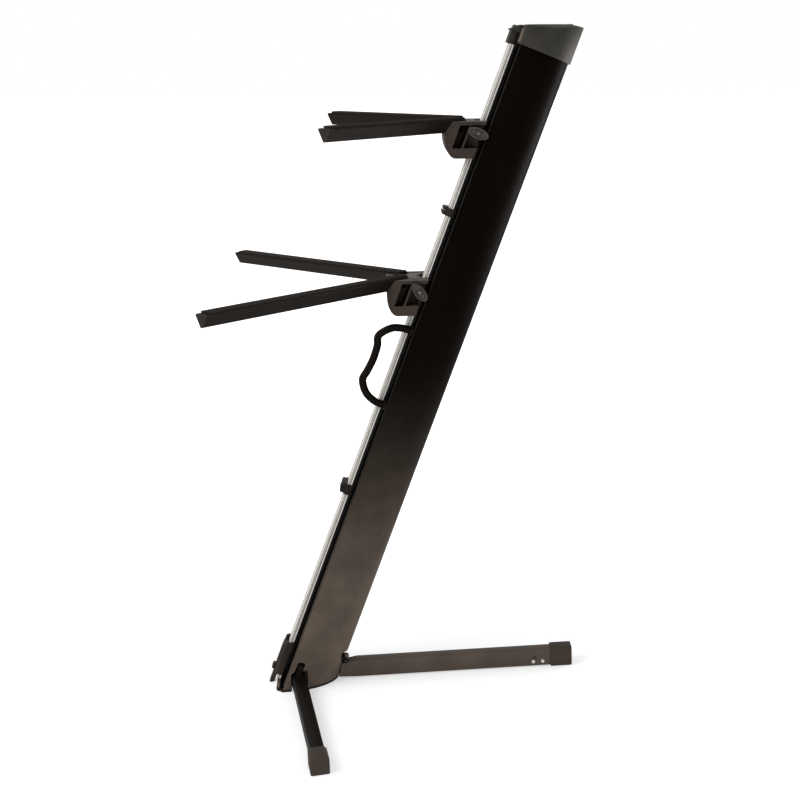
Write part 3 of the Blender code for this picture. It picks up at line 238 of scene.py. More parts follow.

# Coated finishes. A colour is a colour or the name of a setting. grain is scale, stretch and bump, wear is the
# width and amount of rubbed edges, and the film's numbers are how high its dirt and painted light reach, their
# rise and their level on top faces. channel and recess colour painted shade near black.
COAT_TINT = (1.0, 0.80, 0.66)
COATS = {
    # Painted shade: channel colours the column's and the boot's faces behind the rail's flange near black
    "column": dict(colour="column", roughness=0.42, specular=0.01, grain=(1400.0, 0.35, 0.00004),
                   wear=(0.0016, 0.30), dust=(0.66, 1.0, 0.0), channel=(-1.0, CHANNEL_BACK), sheen=0.22),
    "boot": dict(colour="column", roughness=0.50, specular=0.01, grain=(1100.0, 1.0, 0.00008),
                 wear=(0.0018, 0.30), dust=(0.68, 1.0, 0.0), channel=(FLANGE_BACK, CHANNEL_BACK), sheen=0.10),
    # Painted highlight: the corner beads are coloured lighter than the column to show the highlight on its
    # front corners
    "corner": dict(colour=(0.011, 0.009, 0.0075), roughness=0.34, specular=0.12, grain=(1400.0, 0.35, 0.00003),
                   wear=(0.0006, 0.3), dust=(0.62, 0.6, 0.0)),
    "cap": dict(colour="cap", roughness=0.56, specular=0.30, grain=(1600.0, 1.0, 0.00010),
                wear=(0.0020, 0.55), dust=(0.1, 0.0, 0.06)),
    # Painted highlight: the cap beads are coloured lighter than the cap to show a glint along them
    "bead": dict(colour=(0.085, 0.072, 0.058), roughness=0.36, specular=0.45, grain=(1500.0, 1.0, 0.00004),
                 wear=(0.0010, 0.4), dust=(0.1, 0.0, 0.0)),
    # Painted light and shade: a pale film colour lightens the bracket's top faces where light falls from
    # above, and its windows are coloured near black as painted shade
    "bracket": dict(colour="bracket", roughness=0.52, specular=0.32, grain=(1300.0, 1.0, 0.00016),
                    wear=(0.0018, 0.65), dust=(0.1, 0.0, 0.80), contrast=0.30, recess=0.045,
                    film_and_light_colour=(0.20, 0.175, 0.155)),
    "arm": dict(colour="arm", roughness=0.42, specular=0.14, grain=(1000.0, 1.0, 0.00005),
                wear=(0.0016, 0.40), dust=(0.1, 0.0, 0.10)),
    # Painted light: the rear leg's colour is lightened to how its lit side looks; the side legs keep
    # near-black paint
    "leg": dict(colour="leg", roughness=0.46, specular=0.30, grain=(1000.0, 1.0, 0.00006),
                wear=(0.0018, 0.55), dust=(0.12, 0.20, 0.04)),
    "side_leg": dict(colour=(0.0026, 0.0018, 0.0012), roughness=0.44, specular=0.12,
                     grain=(1000.0, 1.0, 0.00006), wear=(0.0018, 0.55), dust=(0.12, 0.02, 0.0)),
    "casting": dict(colour=(0.0025, 0.0020, 0.0018), roughness=0.55, specular=0.12,
                    grain=(1200.0, 1.0, 0.00014), wear=(0.0014, 0.25), dust=(0.12, 0.03, 0.0)),
    "foot": dict(colour="rubber", roughness=0.62, specular=0.30, grain=(1500.0, 1.0, 0.00012),
                 wear=(0.0020, 0.50), dust=(0.12, 0.30, 0.06), worn=3.2),
    "sole": dict(colour="rubber", roughness=0.78, specular=0.15, grain=(900.0, 1.0, 0.00012),
                 wear=(0.0012, 0.20), dust=(0.05, 0.10, 0.02)),
    "strip": dict(colour="rubber", roughness=0.70, specular=0.22, grain=(1300.0, 0.5, 0.00010),
                  wear=(0.0008, 0.35), dust=(0.1, 0.0, 0.12)),
    # Painted shade: the knob's dish is coloured near black where little light reaches
    "knob": dict(colour="knob", roughness=0.52, specular=0.40, grain=(1500.0, 1.0, 0.00010),
                 wear=(0.0012, 0.60), dust=(0.1, 0.0, 0.10), recess=0.007),
    "grip": dict(colour=(0.0016, 0.0012, 0.0010), roughness=0.60, specular=0.12, grain=(700.0, 1.0, 0.00018),
                 wear=(0.0010, 0.10), dust=(0.1, 0.0, 0.02)),
    "plastic": dict(colour="plastic", roughness=0.50, specular=0.30, grain=(1500.0, 1.0, 0.00010),
                    wear=(0.0010, 0.40), dust=(0.15, 0.20, 0.03)),
}
STEELS = {"steel": dict(colour="steel", roughness=0.28),
          "clamp_steel": dict(colour=(0.13, 0.12, 0.115), roughness=0.30),
          "dark_steel": dict(colour=(0.050, 0.048, 0.046), roughness=0.42)}


def colour_setting(name, description, default):
    return FloatVectorProperty(name=name, description=description, default=default, size=3, subtype="COLOR",
                               min=0, max=1)


def length_setting(name, description, default):
    return FloatProperty(name=name, description=description, default=default, unit="LENGTH", min=0)


def plain_setting(name, description, default):
    return FloatProperty(name=name, description=description, default=default, min=0)


class StandFinishes(PropertyGroup):
    """Colours of the stand's finishes."""
    column: colour_setting("Column", "Satin black of the column and boot", (0.0042, 0.0029, 0.0022))
    rail: colour_setting("Rail", "Bare aluminium of the front rail", (0.97, 0.92, 0.86))
    cap: colour_setting("Cap", "Dark grey moulding on the column's top", (0.0285, 0.0292, 0.0262))
    bracket: colour_setting("Bracket", "Grey casting that carries the arms", (0.0290, 0.0222, 0.0190))
    arm: colour_setting("Arm", "Black paint of the arms", (0.0062, 0.0041, 0.0033))
    # Painted light: the rear leg's colour is lightened to how its lit side looks
    leg: colour_setting("Leg", "Black paint of the rear leg, lightened as painted light", (0.0620, 0.0490, 0.0400))
    plastic: colour_setting("Plastic", "Black moulded small parts", (0.0075, 0.0058, 0.0051))
    knob: colour_setting("Knob", "Dark grey clamp knobs", (0.060, 0.051, 0.046))
    rubber: colour_setting("Rubber", "Strips, sole and foot caps", (0.0150, 0.0128, 0.0112))
    steel: colour_setting("Steel", "Bright screw heads", (0.92, 0.91, 0.89))
    # Painted light: this colour lightens the stand towards the floor and on top faces, for dirt and for bounce
    # and top light
    dust: colour_setting("Dust", "Brownish film of dirt and painted light, towards the floor and on top faces", (0.138, 0.108, 0.086))


class StandDetails(PropertyGroup):
    """Sizes of the small parts."""
    edge: length_setting("Edge", "Rounding of cast and drawn edges", 0.0006)
    corner_bead: length_setting("Corner bead", "Radius of the bead on the column's front corners", 0.0009)
    cap_bead: length_setting("Cap bead", "Radius of the bead beside the cap's hook", 0.0034)
    grip: length_setting("Grip", "Radius of the carry handle's sleeve", 0.0068)
    rib: length_setting("Strip rib", "Radius of the ribs on the arm strips", 0.0007)
    rib_count: IntProperty(name="Ribs per strip", description="Ribs that run along each arm strip",
                           default=5, min=1)
    rib_pitch: length_setting("Rib pitch", "Distance between two strip ribs", 0.0036)
    knob_long: length_setting("Knob length", "Length of the oval clamp knob", 0.0370)
    knob_short: length_setting("Knob width", "Width of the oval clamp knob", 0.0190)
    knob_thick: length_setting("Knob thickness", "Thickness of the oval clamp knob", 0.0085)
    knob_rim: length_setting("Knob rim", "Width of the raised rim round the knob", 0.0022)
    screw_radius: length_setting("Screw radius", "Radius of the clamp screw", 0.0031)
    foot_screw_radius: length_setting("Foot screw radius", "Radius of the rear leg's screw heads", 0.0041)
    recess: length_setting("Recess", "Width of a slot of the screws' cross recess", 0.0011)


class StandStage(PropertyGroup):
    """Camera and light of the studio."""
    camera_place: FloatVectorProperty(name="Camera place", description="Where the camera stands", size=3,
                                      default=(2.5055695, 0.1647545, 1.1730414), subtype="TRANSLATION")
    camera_turn: FloatVectorProperty(name="Camera turn", description="Rotation of the camera",
                                     default=(radians(76.7643), radians(0.2208), radians(82.3538)),
                                     size=3, subtype="EULER")
    lens: FloatProperty(name="Lens", description="Focal length in millimetres", default=63.5100, min=1)
    shift: FloatVectorProperty(name="Shift", description="Lens shift that frames the stand",
                               default=(-0.2100, -0.0369), size=2)
    key: plain_setting("Key light", "Power of the big soft light in watts", 66)
    low: plain_setting("Low light", "Power of the low light beside the stand in watts", 9)
    rim: plain_setting("Rim light", "Power of the light behind the stand in watts", 42)
    sky: plain_setting("Sky", "Strength of the even light from all round", 0.52)
    floor: colour_setting("Floor", "Colour of the floor", (0.86, 0.86, 0.86))


def put(tree, kind, feeds=None, **settings):
    """Add a node; each feed is a value or an output socket to connect."""
    made = tree.nodes.new(kind)
    for key, value in settings.items():
        setattr(made, key, value)
    for key, value in (feeds or {}).items():
        if isinstance(value, bpy.types.NodeSocket):
            tree.links.new(value, made.inputs[key])
        else:
            made.inputs[key].default_value = value
    return made


def maths(tree, operation, *values, clamp=False):
    """Add a math node and return its output."""
    feeds = dict(enumerate(values))
    return put(tree, "ShaderNodeMath", feeds, operation=operation, use_clamp=clamp).outputs[0]


def times(tree, first, second, clamp=False):
    return maths(tree, "MULTIPLY", first, second, clamp=clamp)


def plus(tree, first, second, clamp=False):
    return maths(tree, "ADD", first, second, clamp=clamp)


def blend_colour(tree, share, first, second, mode="MIX"):
    """Add a colour mix and return its output."""
    made = put(tree, "ShaderNodeMix", data_type="RGBA", blend_type=mode)
    for index, value in ((0, share), (6, first), (7, second)):
        if isinstance(value, bpy.types.NodeSocket):
            tree.links.new(value, made.inputs[index])
        else:
            made.inputs[index].default_value = value
    return made.outputs[2]


def painted_over(tree, base, group, colour):
    """Cover a base colour with another where a group's mask is high."""
    return blend_colour(tree, group.outputs["Mask"], base, (*colour, 1))


def toned(tree, colour, tone):
    """Lighten and darken a colour by a tone."""
    shade = put(tree, "ShaderNodeCombineColor", {0: tone, 1: tone, 2: tone}).outputs[0]
    return blend_colour(tree, 1.0, (*colour, 1), shade, "MULTIPLY")


def ramp(tree, value, low, high, start=0.0, end=1.0, kind="SMOOTHSTEP"):
    """Map a value smoothly from one span to another."""
    feeds = {"Value": value, "From Min": low, "From Max": high, "To Min": start, "To Max": end}
    return put(tree, "ShaderNodeMapRange", feeds, interpolation_type=kind).outputs["Result"]


def noise(tree, place, scale, detail, roughness=0.5):
    feeds = {"Vector": place, "Scale": scale, "Detail": detail, "Roughness": roughness}
    return put(tree, "ShaderNodeTexNoise", feeds).outputs[0]


def object_place(tree):
    return put(tree, "ShaderNodeTexCoord").outputs["Object"]


def along_axis(tree, vector, axis):
    return put(tree, "ShaderNodeSeparateXYZ", {0: vector}).outputs[axis]


def start_group(name, kind, inputs, outputs):
    """Start a node group and return its tree, the sockets it is given and those it puts out."""
    tree = bpy.data.node_groups.new(name, kind)
    for label, socket, default in inputs:
        made = tree.interface.new_socket(label, in_out="INPUT", socket_type="NodeSocket" + socket)
        if default is not None:
            made.default_value = default
    for label, socket in outputs:
        tree.interface.new_socket(label, in_out="OUTPUT", socket_type="NodeSocket" + socket)
    return tree, tree.nodes.new("NodeGroupInput").outputs, tree.nodes.new("NodeGroupOutput").inputs


def start_mask(name, **inputs):
    """Start a shader group that puts out one mask; each input is a number with its default."""
    given = [(label, "Float", default) for label, default in inputs.items()]
    return start_group(name, "ShaderNodeTree", given, [("Mask", "Float")])


def start_shape(name, *inputs):
    """Start a Geometry Nodes tree that takes and returns geometry, with a material."""
    given = [("Geometry", "Geometry", None), *inputs, ("Material", "Material", None)]
    return start_group(name, "GeometryNodeTree", given, [("Geometry", "Geometry")])


def column_coordinates(tree):
    """Object coordinates turned so that their Z runs up the leaning column."""
    feeds = {"Vector": object_place(tree), "Location": (0, FRONT_LINE_Y, 0), "Rotation": (-LEAN, 0, 0)}
    return put(tree, "ShaderNodeMapping", feeds, vector_type="TEXTURE").outputs[0]


def grain_group():
    """Grain of a painted, cast or moulded surface, as a height and a tone."""
    tree, given, result = start_group("surface grain", "ShaderNodeTree",
                                      [("Scale", "Float", 900.0), ("Stretch", "Float", 1.0)],
                                      [("Height", "Float"), ("Tone", "Float")])
    squeeze = put(tree, "ShaderNodeCombineXYZ", {0: 1.0, 1: 1.0, 2: given["Stretch"]}).outputs[0]
    feeds = {0: column_coordinates(tree), 1: squeeze}
    place = put(tree, "ShaderNodeVectorMath", feeds, operation="MULTIPLY").outputs[0]
    fine = noise(tree, place, given["Scale"], 3.0)
    coarse = noise(tree, place, times(tree, given["Scale"], 0.22), 2.0)
    broad = noise(tree, place, 14.0, 3.0, 0.55)
    height = plus(tree, times(tree, fine, 0.6), times(tree, coarse, 0.4))
    tone = plus(tree, times(tree, broad, 0.65), times(tree, fine, 0.35))
    tree.links.new(height, result["Height"])
    tree.links.new(tone, result["Tone"])


def wear_group():
    """Mask of edges that hands and cases have rubbed."""
    tree, given, result = start_mask("edge wear", Width=0.001, Amount=0.5)
    soft = put(tree, "ShaderNodeBevel", {"Radius": given["Width"]}, samples=4).outputs[0]
    flat = put(tree, "ShaderNodeNewGeometry").outputs["Normal"]
    same = put(tree, "ShaderNodeVectorMath", {0: soft, 1: flat}, operation="DOT_PRODUCT").outputs["Value"]
    edge = ramp(tree, same, 0.985, 0.86)
    broken = ramp(tree, noise(tree, object_place(tree), 95.0, 4.0), 0.36, 0.64, 0.25, 1.0)
    mask = times(tree, times(tree, edge, broken), given["Amount"], clamp=True)
    tree.links.new(mask, result["Mask"])


def dust_and_light_group():
    """Mask that rises towards the floor and on level faces, for dirt and for painted light of the floor's
    bounce and of light from above.
    """
    tree, given, result = start_mask("dust film", High=0.8, Rise=0.8, Level=0.2)
    place = object_place(tree)
    climb = ramp(tree, along_axis(tree, place, "Z"), given["High"], 0.0, kind="SMOOTHERSTEP")
    facing = put(tree, "ShaderNodeNewGeometry").outputs["Normal"]
    upward = ramp(tree, along_axis(tree, facing, "Z"), 0.55, 0.95)
    cloud = ramp(tree, noise(tree, place, 22.0, 5.0), 0.25, 0.75, 0.72, 1.0)
    total = plus(tree, times(tree, climb, given["Rise"]), times(tree, upward, given["Level"]))
    tree.links.new(times(tree, total, cloud, clamp=True), result["Mask"])


def recess_shade_group():
    """Mask of windows and hollows that little light reaches."""
    tree, given, result = start_mask("dark recess", Reach=0.03)
    open_share = put(tree, "ShaderNodeAmbientOcclusion", {"Distance": given["Reach"]}, samples=8,
                     only_local=True).outputs["AO"]
    tree.links.new(ramp(tree, open_share, 0.84, 0.48), result["Mask"])


def channel_shade_group():
    """Mask of painted shade in the channel between the rail's flange and the column's face."""
    tree, given, result = start_mask("front channel", Front=-1.0, Back=0.001)
    depth = along_axis(tree, column_coordinates(tree), "Y")
    behind = maths(tree, "GREATER_THAN", depth, given["Front"])
    ahead = maths(tree, "LESS_THAN", depth, given["Back"])
    tree.links.new(times(tree, behind, ahead), result["Mask"])


def lines_group():
    """Mask of fine grooves that run up the rail on its side and front faces."""
    tree, given, result = start_mask("rail lines", Pitch=0.0026, Width=0.30)
    parts = put(tree, "ShaderNodeSeparateXYZ", {0: column_coordinates(tree)}).outputs
    masks = []
    for axis, offset in (("X", 0.0200), ("Y", 0.0180)):
        phase = maths(tree, "DIVIDE", plus(tree, parts[axis], offset), given["Pitch"])
        beside = maths(tree, "ABSOLUTE", maths(tree, "SUBTRACT", maths(tree, "FRACT", phase), 0.5))
        masks.append(ramp(tree, beside, given["Width"], 0.04))
    tree.links.new(maths(tree, "MAXIMUM", *masks), result["Mask"])


def use_group(tree, name, **values):
    """Place a shared effect in a material with its own values."""
    made = tree.nodes.new("ShaderNodeGroup")
    made.node_tree = bpy.data.node_groups[name]
    for key, value in values.items():
        made.inputs[key].default_value = value
    return made


def as_colour(value):
    """A colour as it is, or the finish setting of that name."""
    return tuple(getattr(bpy.context.scene.stand_finishes, value)) if isinstance(value, str) else value


def start_material(name, roughness, metallic=0.0, specular=0.5, tint=(1, 1, 1)):
    material = bpy.data.materials.new(name)
    material.use_nodes = True
    tree = material.node_tree
    shader = tree.nodes["Principled BSDF"]
    shader.inputs["Roughness"].default_value = roughness
    shader.inputs["Metallic"].default_value = metallic
    shader.inputs["Specular IOR Level"].default_value = specular
    shader.inputs["Specular Tint"].default_value = (*tint, 1)
    return tree, shader


def end_material(tree, shader, base, rough, strength, distance, height):
    """Connect a finish's colour, roughness and bump to its shader."""
    bump = put(tree, "ShaderNodeBump", {"Strength": strength, "Distance": distance, "Height": height})
    for key, value in (("Base Color", base), ("Roughness", rough), ("Normal", bump.outputs[0])):
        tree.links.new(value, shader.inputs[key])


def coated(name, colour, roughness, specular, grain, wear, dust, worn=2.6, contrast=0.35, channel=None,
           recess=None, film_and_light_colour="dust", sheen=None):
    """Painted, cast, moulded or rubber finish with grain, rubbed edges, dirt with painted light, and painted
    shade.

    worn is how much lighter a rubbed edge is, and contrast how far the grain's tone swings.
    channel is the depth span, in front of and behind the column's face, coloured near black as painted shade,
    and recess is how deep a hollow has to be to be coloured near black as painted shade. sheen is the weight
    of the clear coat where the film of dirt and painted light lies.
    """
    colour = as_colour(colour)
    tree, shader = start_material(name, roughness, specular=specular, tint=COAT_TINT)
    grained = use_group(tree, "surface grain", Scale=grain[0], Stretch=grain[1])
    edges = use_group(tree, "edge wear", Width=wear[0], Amount=wear[1])
    film = use_group(tree, "dust film", High=dust[0], Rise=dust[1], Level=dust[2])
    tone = grained.outputs["Tone"]
    base = toned(tree, colour, ramp(tree, tone, 0.3, 0.7, 1 - contrast, 1 + contrast))
    base = painted_over(tree, base, edges, [min(1.0, part * worn + 0.012) for part in colour])
    # Painted light: the film lightens the finish towards the floor and on top faces, for dirt and for bounce
    # and top light
    base = painted_over(tree, base, film, as_colour(film_and_light_colour))
    if sheen:
        shader.inputs["Coat Roughness"].default_value = roughness
        tree.links.new(times(tree, film.outputs["Mask"], sheen), shader.inputs["Coat Weight"])
    if channel:
        # Painted shade: the channel behind the rail's flange is coloured near black
        shade = use_group(tree, "front channel", Front=channel[0], Back=channel[1])
        base = painted_over(tree, base, shade, CHANNEL_PAINTED_SHADE)
    if recess:
        # Painted shade: hollows that little light reaches are coloured near black
        base = painted_over(tree, base, use_group(tree, "dark recess", Reach=recess), CHANNEL_PAINTED_SHADE)
    rough = ramp(tree, tone, 0.25, 0.75, roughness - 0.07, roughness + 0.09)
    rough = plus(tree, rough, times(tree, film.outputs["Mask"], 0.15), clamp=True)
    end_material(tree, shader, base, rough, 0.6, grain[2], grained.outputs["Height"])


def bare_rail(name, colour):
    """Extruded aluminium with drawing lines and fine lengthwise grooves, whose insides are coloured dark as
    painted shade.
    """
    colour = as_colour(colour)
    tree, shader = start_material(name, 0.34, 0.10)
    drawn = use_group(tree, "surface grain", Scale=1500.0, Stretch=0.012)
    lines = use_group(tree, "rail lines", Pitch=0.0033, Width=0.24)
    edges = use_group(tree, "edge wear", Width=0.0006, Amount=0.4)
    # Painted shade: the rail's neck behind its flange is coloured near black
    shade = use_group(tree, "front channel", Front=FLANGE_BACK + CHANNEL_SLACK, Back=0.01)
    tone = drawn.outputs["Tone"]
    base = toned(tree, colour, ramp(tree, tone, 0.3, 0.7, 0.86, 1.06))
    # Painted shade: inside the grooves the colour drops to a tenth, for the shade in them
    base = painted_over(tree, base, lines, [part * 0.10 for part in colour])
    base = painted_over(tree, base, edges, (0.90, 0.87, 0.84))
    base = painted_over(tree, base, shade, CHANNEL_PAINTED_SHADE)
    in_groove = lines.outputs["Mask"]
    rough = plus(tree, ramp(tree, tone, 0.3, 0.7, 0.28, 0.42), times(tree, in_groove, 0.2), clamp=True)
    height = maths(tree, "SUBTRACT", times(tree, drawn.outputs["Height"], 0.12), in_groove)
    end_material(tree, shader, base, rough, 0.7, 0.0003, height)


def bright_steel(name, colour, roughness):
    """Turned and plated steel with fine marks of handling."""
    colour = as_colour(colour)
    tree, shader = start_material(name, roughness, 1.0)
    turned = use_group(tree, "surface grain", Scale=2600.0, Stretch=1.0)
    edges = use_group(tree, "edge wear", Width=0.0004, Amount=0.5)
    tone = turned.outputs["Tone"]
    base = toned(tree, colour, ramp(tree, tone, 0.3, 0.7, 0.78, 1.05))
    base = painted_over(tree, base, edges, [min(1.0, part * 1.25 + 0.02) for part in colour])
    rough = ramp(tree, tone, 0.25, 0.75, roughness - 0.06, roughness + 0.12)
    end_material(tree, shader, base, rough, 0.35, 0.00005, turned.outputs["Height"])


def drawn_in(place):
    """Bring what stands out from the column's face closer to it."""
    return Vector((place.x, max(place.y, place.y * RAIL_DRAW), place.z))


def drawn_level(place):
    """Draw in what stands out from the column's face, each point at its own height."""
    drawn = drawn_in(place)
    return drawn + Vector((0, 0, (drawn.y - place.y) * tan(LEAN)))


def crown_raised(place):
    """Draw the cap in and lift its crown's front to the height of its middle."""
    place = drawn_in(place)
    level = (COLUMN @ place).z
    if level < CROWN_LOW:
        return place
    lift = min(CAD_BOX[1].z - CROWN_GAP - level, CROWN_LIFT * max(0.0, 1 - place.y / CROWN_RUN))
    return place + Vector((0, 0, max(0.0, lift)))


def head_lowered(place):
    """Draw the latch housing in and lower its head."""
    place = drawn_in(place)
    return place - Vector((0, 0, LATCH_HEAD_DROP)) if place.z > LATCH_HEAD_LOW else place


def top_levelled(place):
    """Raise the upper end of a latch cheek and cut it level with the floor."""
    if place.z < (LATCH_SPAN[0] + LATCH_SPAN[1]) / 2:
        return place
    return place + Vector((0, 0, LATCH_CHEEK_RISE + (place.y - LATCH_CHEEK_FRONT) * tan(LEAN)))


def foot_raised(place):
    """Move a foot of the carry handle up the column with the handle."""
    return place + Vector((0, 0, HANDLE_RAISE))


def toe_shortened(place):
    """Draw the latch lever in and keep its toe off the floor."""
    place = drawn_in(place)
    place.z = max(place.z, LEVER_TOE_LOW)
    return place


def reshape(piece, change):
    """Move a piece's points, given and returned in the column's frame."""
    back = COLUMN.inverted()
    for vertex in piece.data.vertices:
        vertex.co = COLUMN @ change(back @ vertex.co)
    piece.data.update()
    return piece


def end_slanted(piece):
    """Cut the rear leg's front end along the boot's back."""
    for vertex in piece.data.vertices:
        if vertex.co.y < REAR_END_Y and vertex.co.z < REAR_END_HIGH:
            vertex.co.y -= REAR_END_REACH + max(0.0, REAR_END_BEND - vertex.co.z) * tan(LEAN)
    piece.data.update()
    return piece


def restretched(piece, old, new, start=-1.0):
    """Stretch a leg piece between two heights, from old to new, behind a start."""
    share = (new[1] - new[0]) / (old[1] - old[0])
    for vertex in piece.data.vertices:
        if vertex.co.y > start and vertex.co.z < old[1] + STRETCH_SLACK:
            vertex.co.z = new[0] + (vertex.co.z - old[0]) * share
    piece.data.update()
    return piece


def settle(piece):
    """Turn a piece's modifiers into plain mesh."""
    graph = bpy.context.evaluated_depsgraph_get()
    graph.update()
    mesh = bpy.data.meshes.new_from_object(piece.evaluated_get(graph), preserve_all_data_layers=True,
                                           depsgraph=graph)
    piece.modifiers.clear()
    piece.data = mesh
    mesh.name = piece.name
    return piece


def round_edges(piece, width, angle):
    """Round a piece's edges that are sharper than an angle."""
    rounding = piece.modifiers.new("Edges", "BEVEL")
    rounding.width = width
    rounding.segments = 2
    rounding.limit_method = "ANGLE"
    rounding.angle_limit = angle
    rounding.harden_normals = True
    return settle(piece)


def stand_in(piece, node, finish=None):
    """Let a piece stand for a CAD node, on its body and in its finish."""
    slot = SLOT_OF[node]
    piece.data.materials.clear()
    piece.data.materials.append(bpy.data.materials["stand_" + (finish or slot)])
    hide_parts(node)
    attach(piece, BODY_OF[node])
    return piece


def finished_copy(node, edge=0.0, change=None, finish=None):
    """Weld a CAD node's triangles into a copy, round its edges and let it stand for the node."""
    mesh = frame["nodes"][node].data.copy()
    welded = bmesh.new()
    welded.from_mesh(mesh)
    bmesh.ops.remove_doubles(welded, verts=welded.verts[:], dist=WELD_DISTANCE)
    bmesh.ops.dissolve_limit(welded, angle_limit=FLAT_ANGLE, verts=welded.verts[:], edges=welded.edges[:])
    welded.to_mesh(mesh)
    welded.free()
    mesh.name = node + "_finished"
    piece = bpy.data.objects.new(node + "_finished", mesh)
    bpy.context.scene.collection.objects.link(piece)
    if change:
        reshape(piece, change)
    mesh.shade_smooth()
    mesh.set_sharp_from_angle(angle=SMOOTH_ANGLE)
    if edge > 0:
        round_edges(piece, edge, BEVEL_ANGLE)
    return stand_in(piece, node, finish)


def trim(piece, body, slot):
    """Put a small part that has no CAD node of its own on a body."""
    if not piece.data.materials:
        piece.data.materials.append(bpy.data.materials["stand_" + slot])
    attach(piece, body)
    return piece


def repaint(*nodes):
    """Give CAD nodes whose shape is right their finish."""
    for node in nodes:
        for place in frame["nodes"][node].material_slots:
            place.material = bpy.data.materials["stand_" + SLOT_OF[node]]


def mesh_object(name, verts, faces=(), edges=()):
    mesh = bpy.data.meshes.new(name)
    mesh.from_pydata(verts, edges, faces)
    piece = bpy.data.objects.new(name, mesh)
    bpy.context.scene.collection.objects.link(piece)
    return piece


def shell_object(name, verts, faces, smooth):
    """Closed mesh with its faces pointing outwards, smooth up to an angle."""
    piece = mesh_object(name, verts, faces)
    shell = bmesh.new()
    shell.from_mesh(piece.data)
    bmesh.ops.recalc_face_normals(shell, faces=shell.faces[:])
    shell.to_mesh(piece.data)
    shell.free()
    piece.data.shade_smooth()
    piece.data.set_sharp_from_angle(angle=smooth)
    return piece


def grow(piece, name, finish, values):
    """Run a Geometry Nodes tree on a piece with named inputs and keep the mesh."""
    tree = bpy.data.node_groups[name]
    values = {**values, "Material": bpy.data.materials["stand_" + finish]}
    step = piece.modifiers.new(name, "NODES")
    step.node_group = tree
    for item in tree.interface.items_tree:
        if item.item_type == "SOCKET" and item.in_out == "INPUT" and item.name in values:
            step[item.identifier] = values[item.name]
    return settle(piece)


def round_bar(name, points, edges, radius, sides, finish):
    """Round bar along the edges between points."""
    line = mesh_object(name, points, edges=edges)
    return grow(line, "round bar", finish, {"Radius": radius, "Sides": sides})


def swept(tree, given, sides):
    """Round bar of the given radius along the given edges."""
    line = put(tree, "GeometryNodeMeshToCurve", {0: given["Geometry"]}).outputs[0]
    feeds = {"Resolution": sides, "Radius": given["Radius"]}
    section = put(tree, "GeometryNodeCurvePrimitiveCircle", feeds).outputs[0]
    feeds = {"Curve": line, "Profile Curve": section, "Fill Caps": True}
    return put(tree, "GeometryNodeCurveToMesh", feeds).outputs[0]


def moved(tree, geometry, height):
    """Geometry lifted by a height."""
    lift = put(tree, "ShaderNodeCombineXYZ", {2: height}).outputs[0]
    return put(tree, "GeometryNodeTransform", {"Geometry": geometry, "Translation": lift}).outputs[0]


def finish_tree(tree, given, result, geometry, smooth=True):
    """End a Geometry Nodes tree in realised geometry with its material."""
    if smooth:
        geometry = put(tree, "GeometryNodeSetShadeSmooth", {0: geometry}).outputs[0]
    real = put(tree, "GeometryNodeRealizeInstances", {0: geometry}).outputs[0]
    feeds = {"Geometry": real, "Material": given["Material"]}
    tree.links.new(put(tree, "GeometryNodeSetMaterial", feeds).outputs[0], result["Geometry"])


def path_tree():
    """Round bar along the edges of the piece it is used on."""
    tree, given, result = start_shape("round bar", ("Radius", "Float", 0.002), ("Sides", "Int", 16))
    finish_tree(tree, given, result, swept(tree, given, given["Sides"]))


def rib_tree():
    """Parallel half-sunk ribs along the single edge of the piece, spread sideways."""
    tree, given, result = start_shape("strip ribs", ("Count", "Int", 5), ("Pitch", "Float", 0.0036),
                                      ("Radius", "Float", 0.0007), ("Sideways", "Vector", (1, 0, 0)))
    rib = swept(tree, given, RIB_SIDES)
    feeds = {0: given["Sideways"], "Scale": given["Pitch"]}
    step = put(tree, "ShaderNodeVectorMath", feeds, operation="SCALE").outputs[0]
    half = times(tree, maths(tree, "SUBTRACT", given["Count"], 1.0), -0.5)
    first = put(tree, "ShaderNodeVectorMath", {0: step, "Scale": half}, operation="SCALE").outputs[0]
    feeds = {"Count": given["Count"], "Start Location": first, "Offset": step}
    row = put(tree, "GeometryNodeMeshLine", feeds, mode="OFFSET").outputs[0]
    many = put(tree, "GeometryNodeInstanceOnPoints", {"Points": row, "Instance": rib}).outputs[0]
    finish_tree(tree, given, result, many)


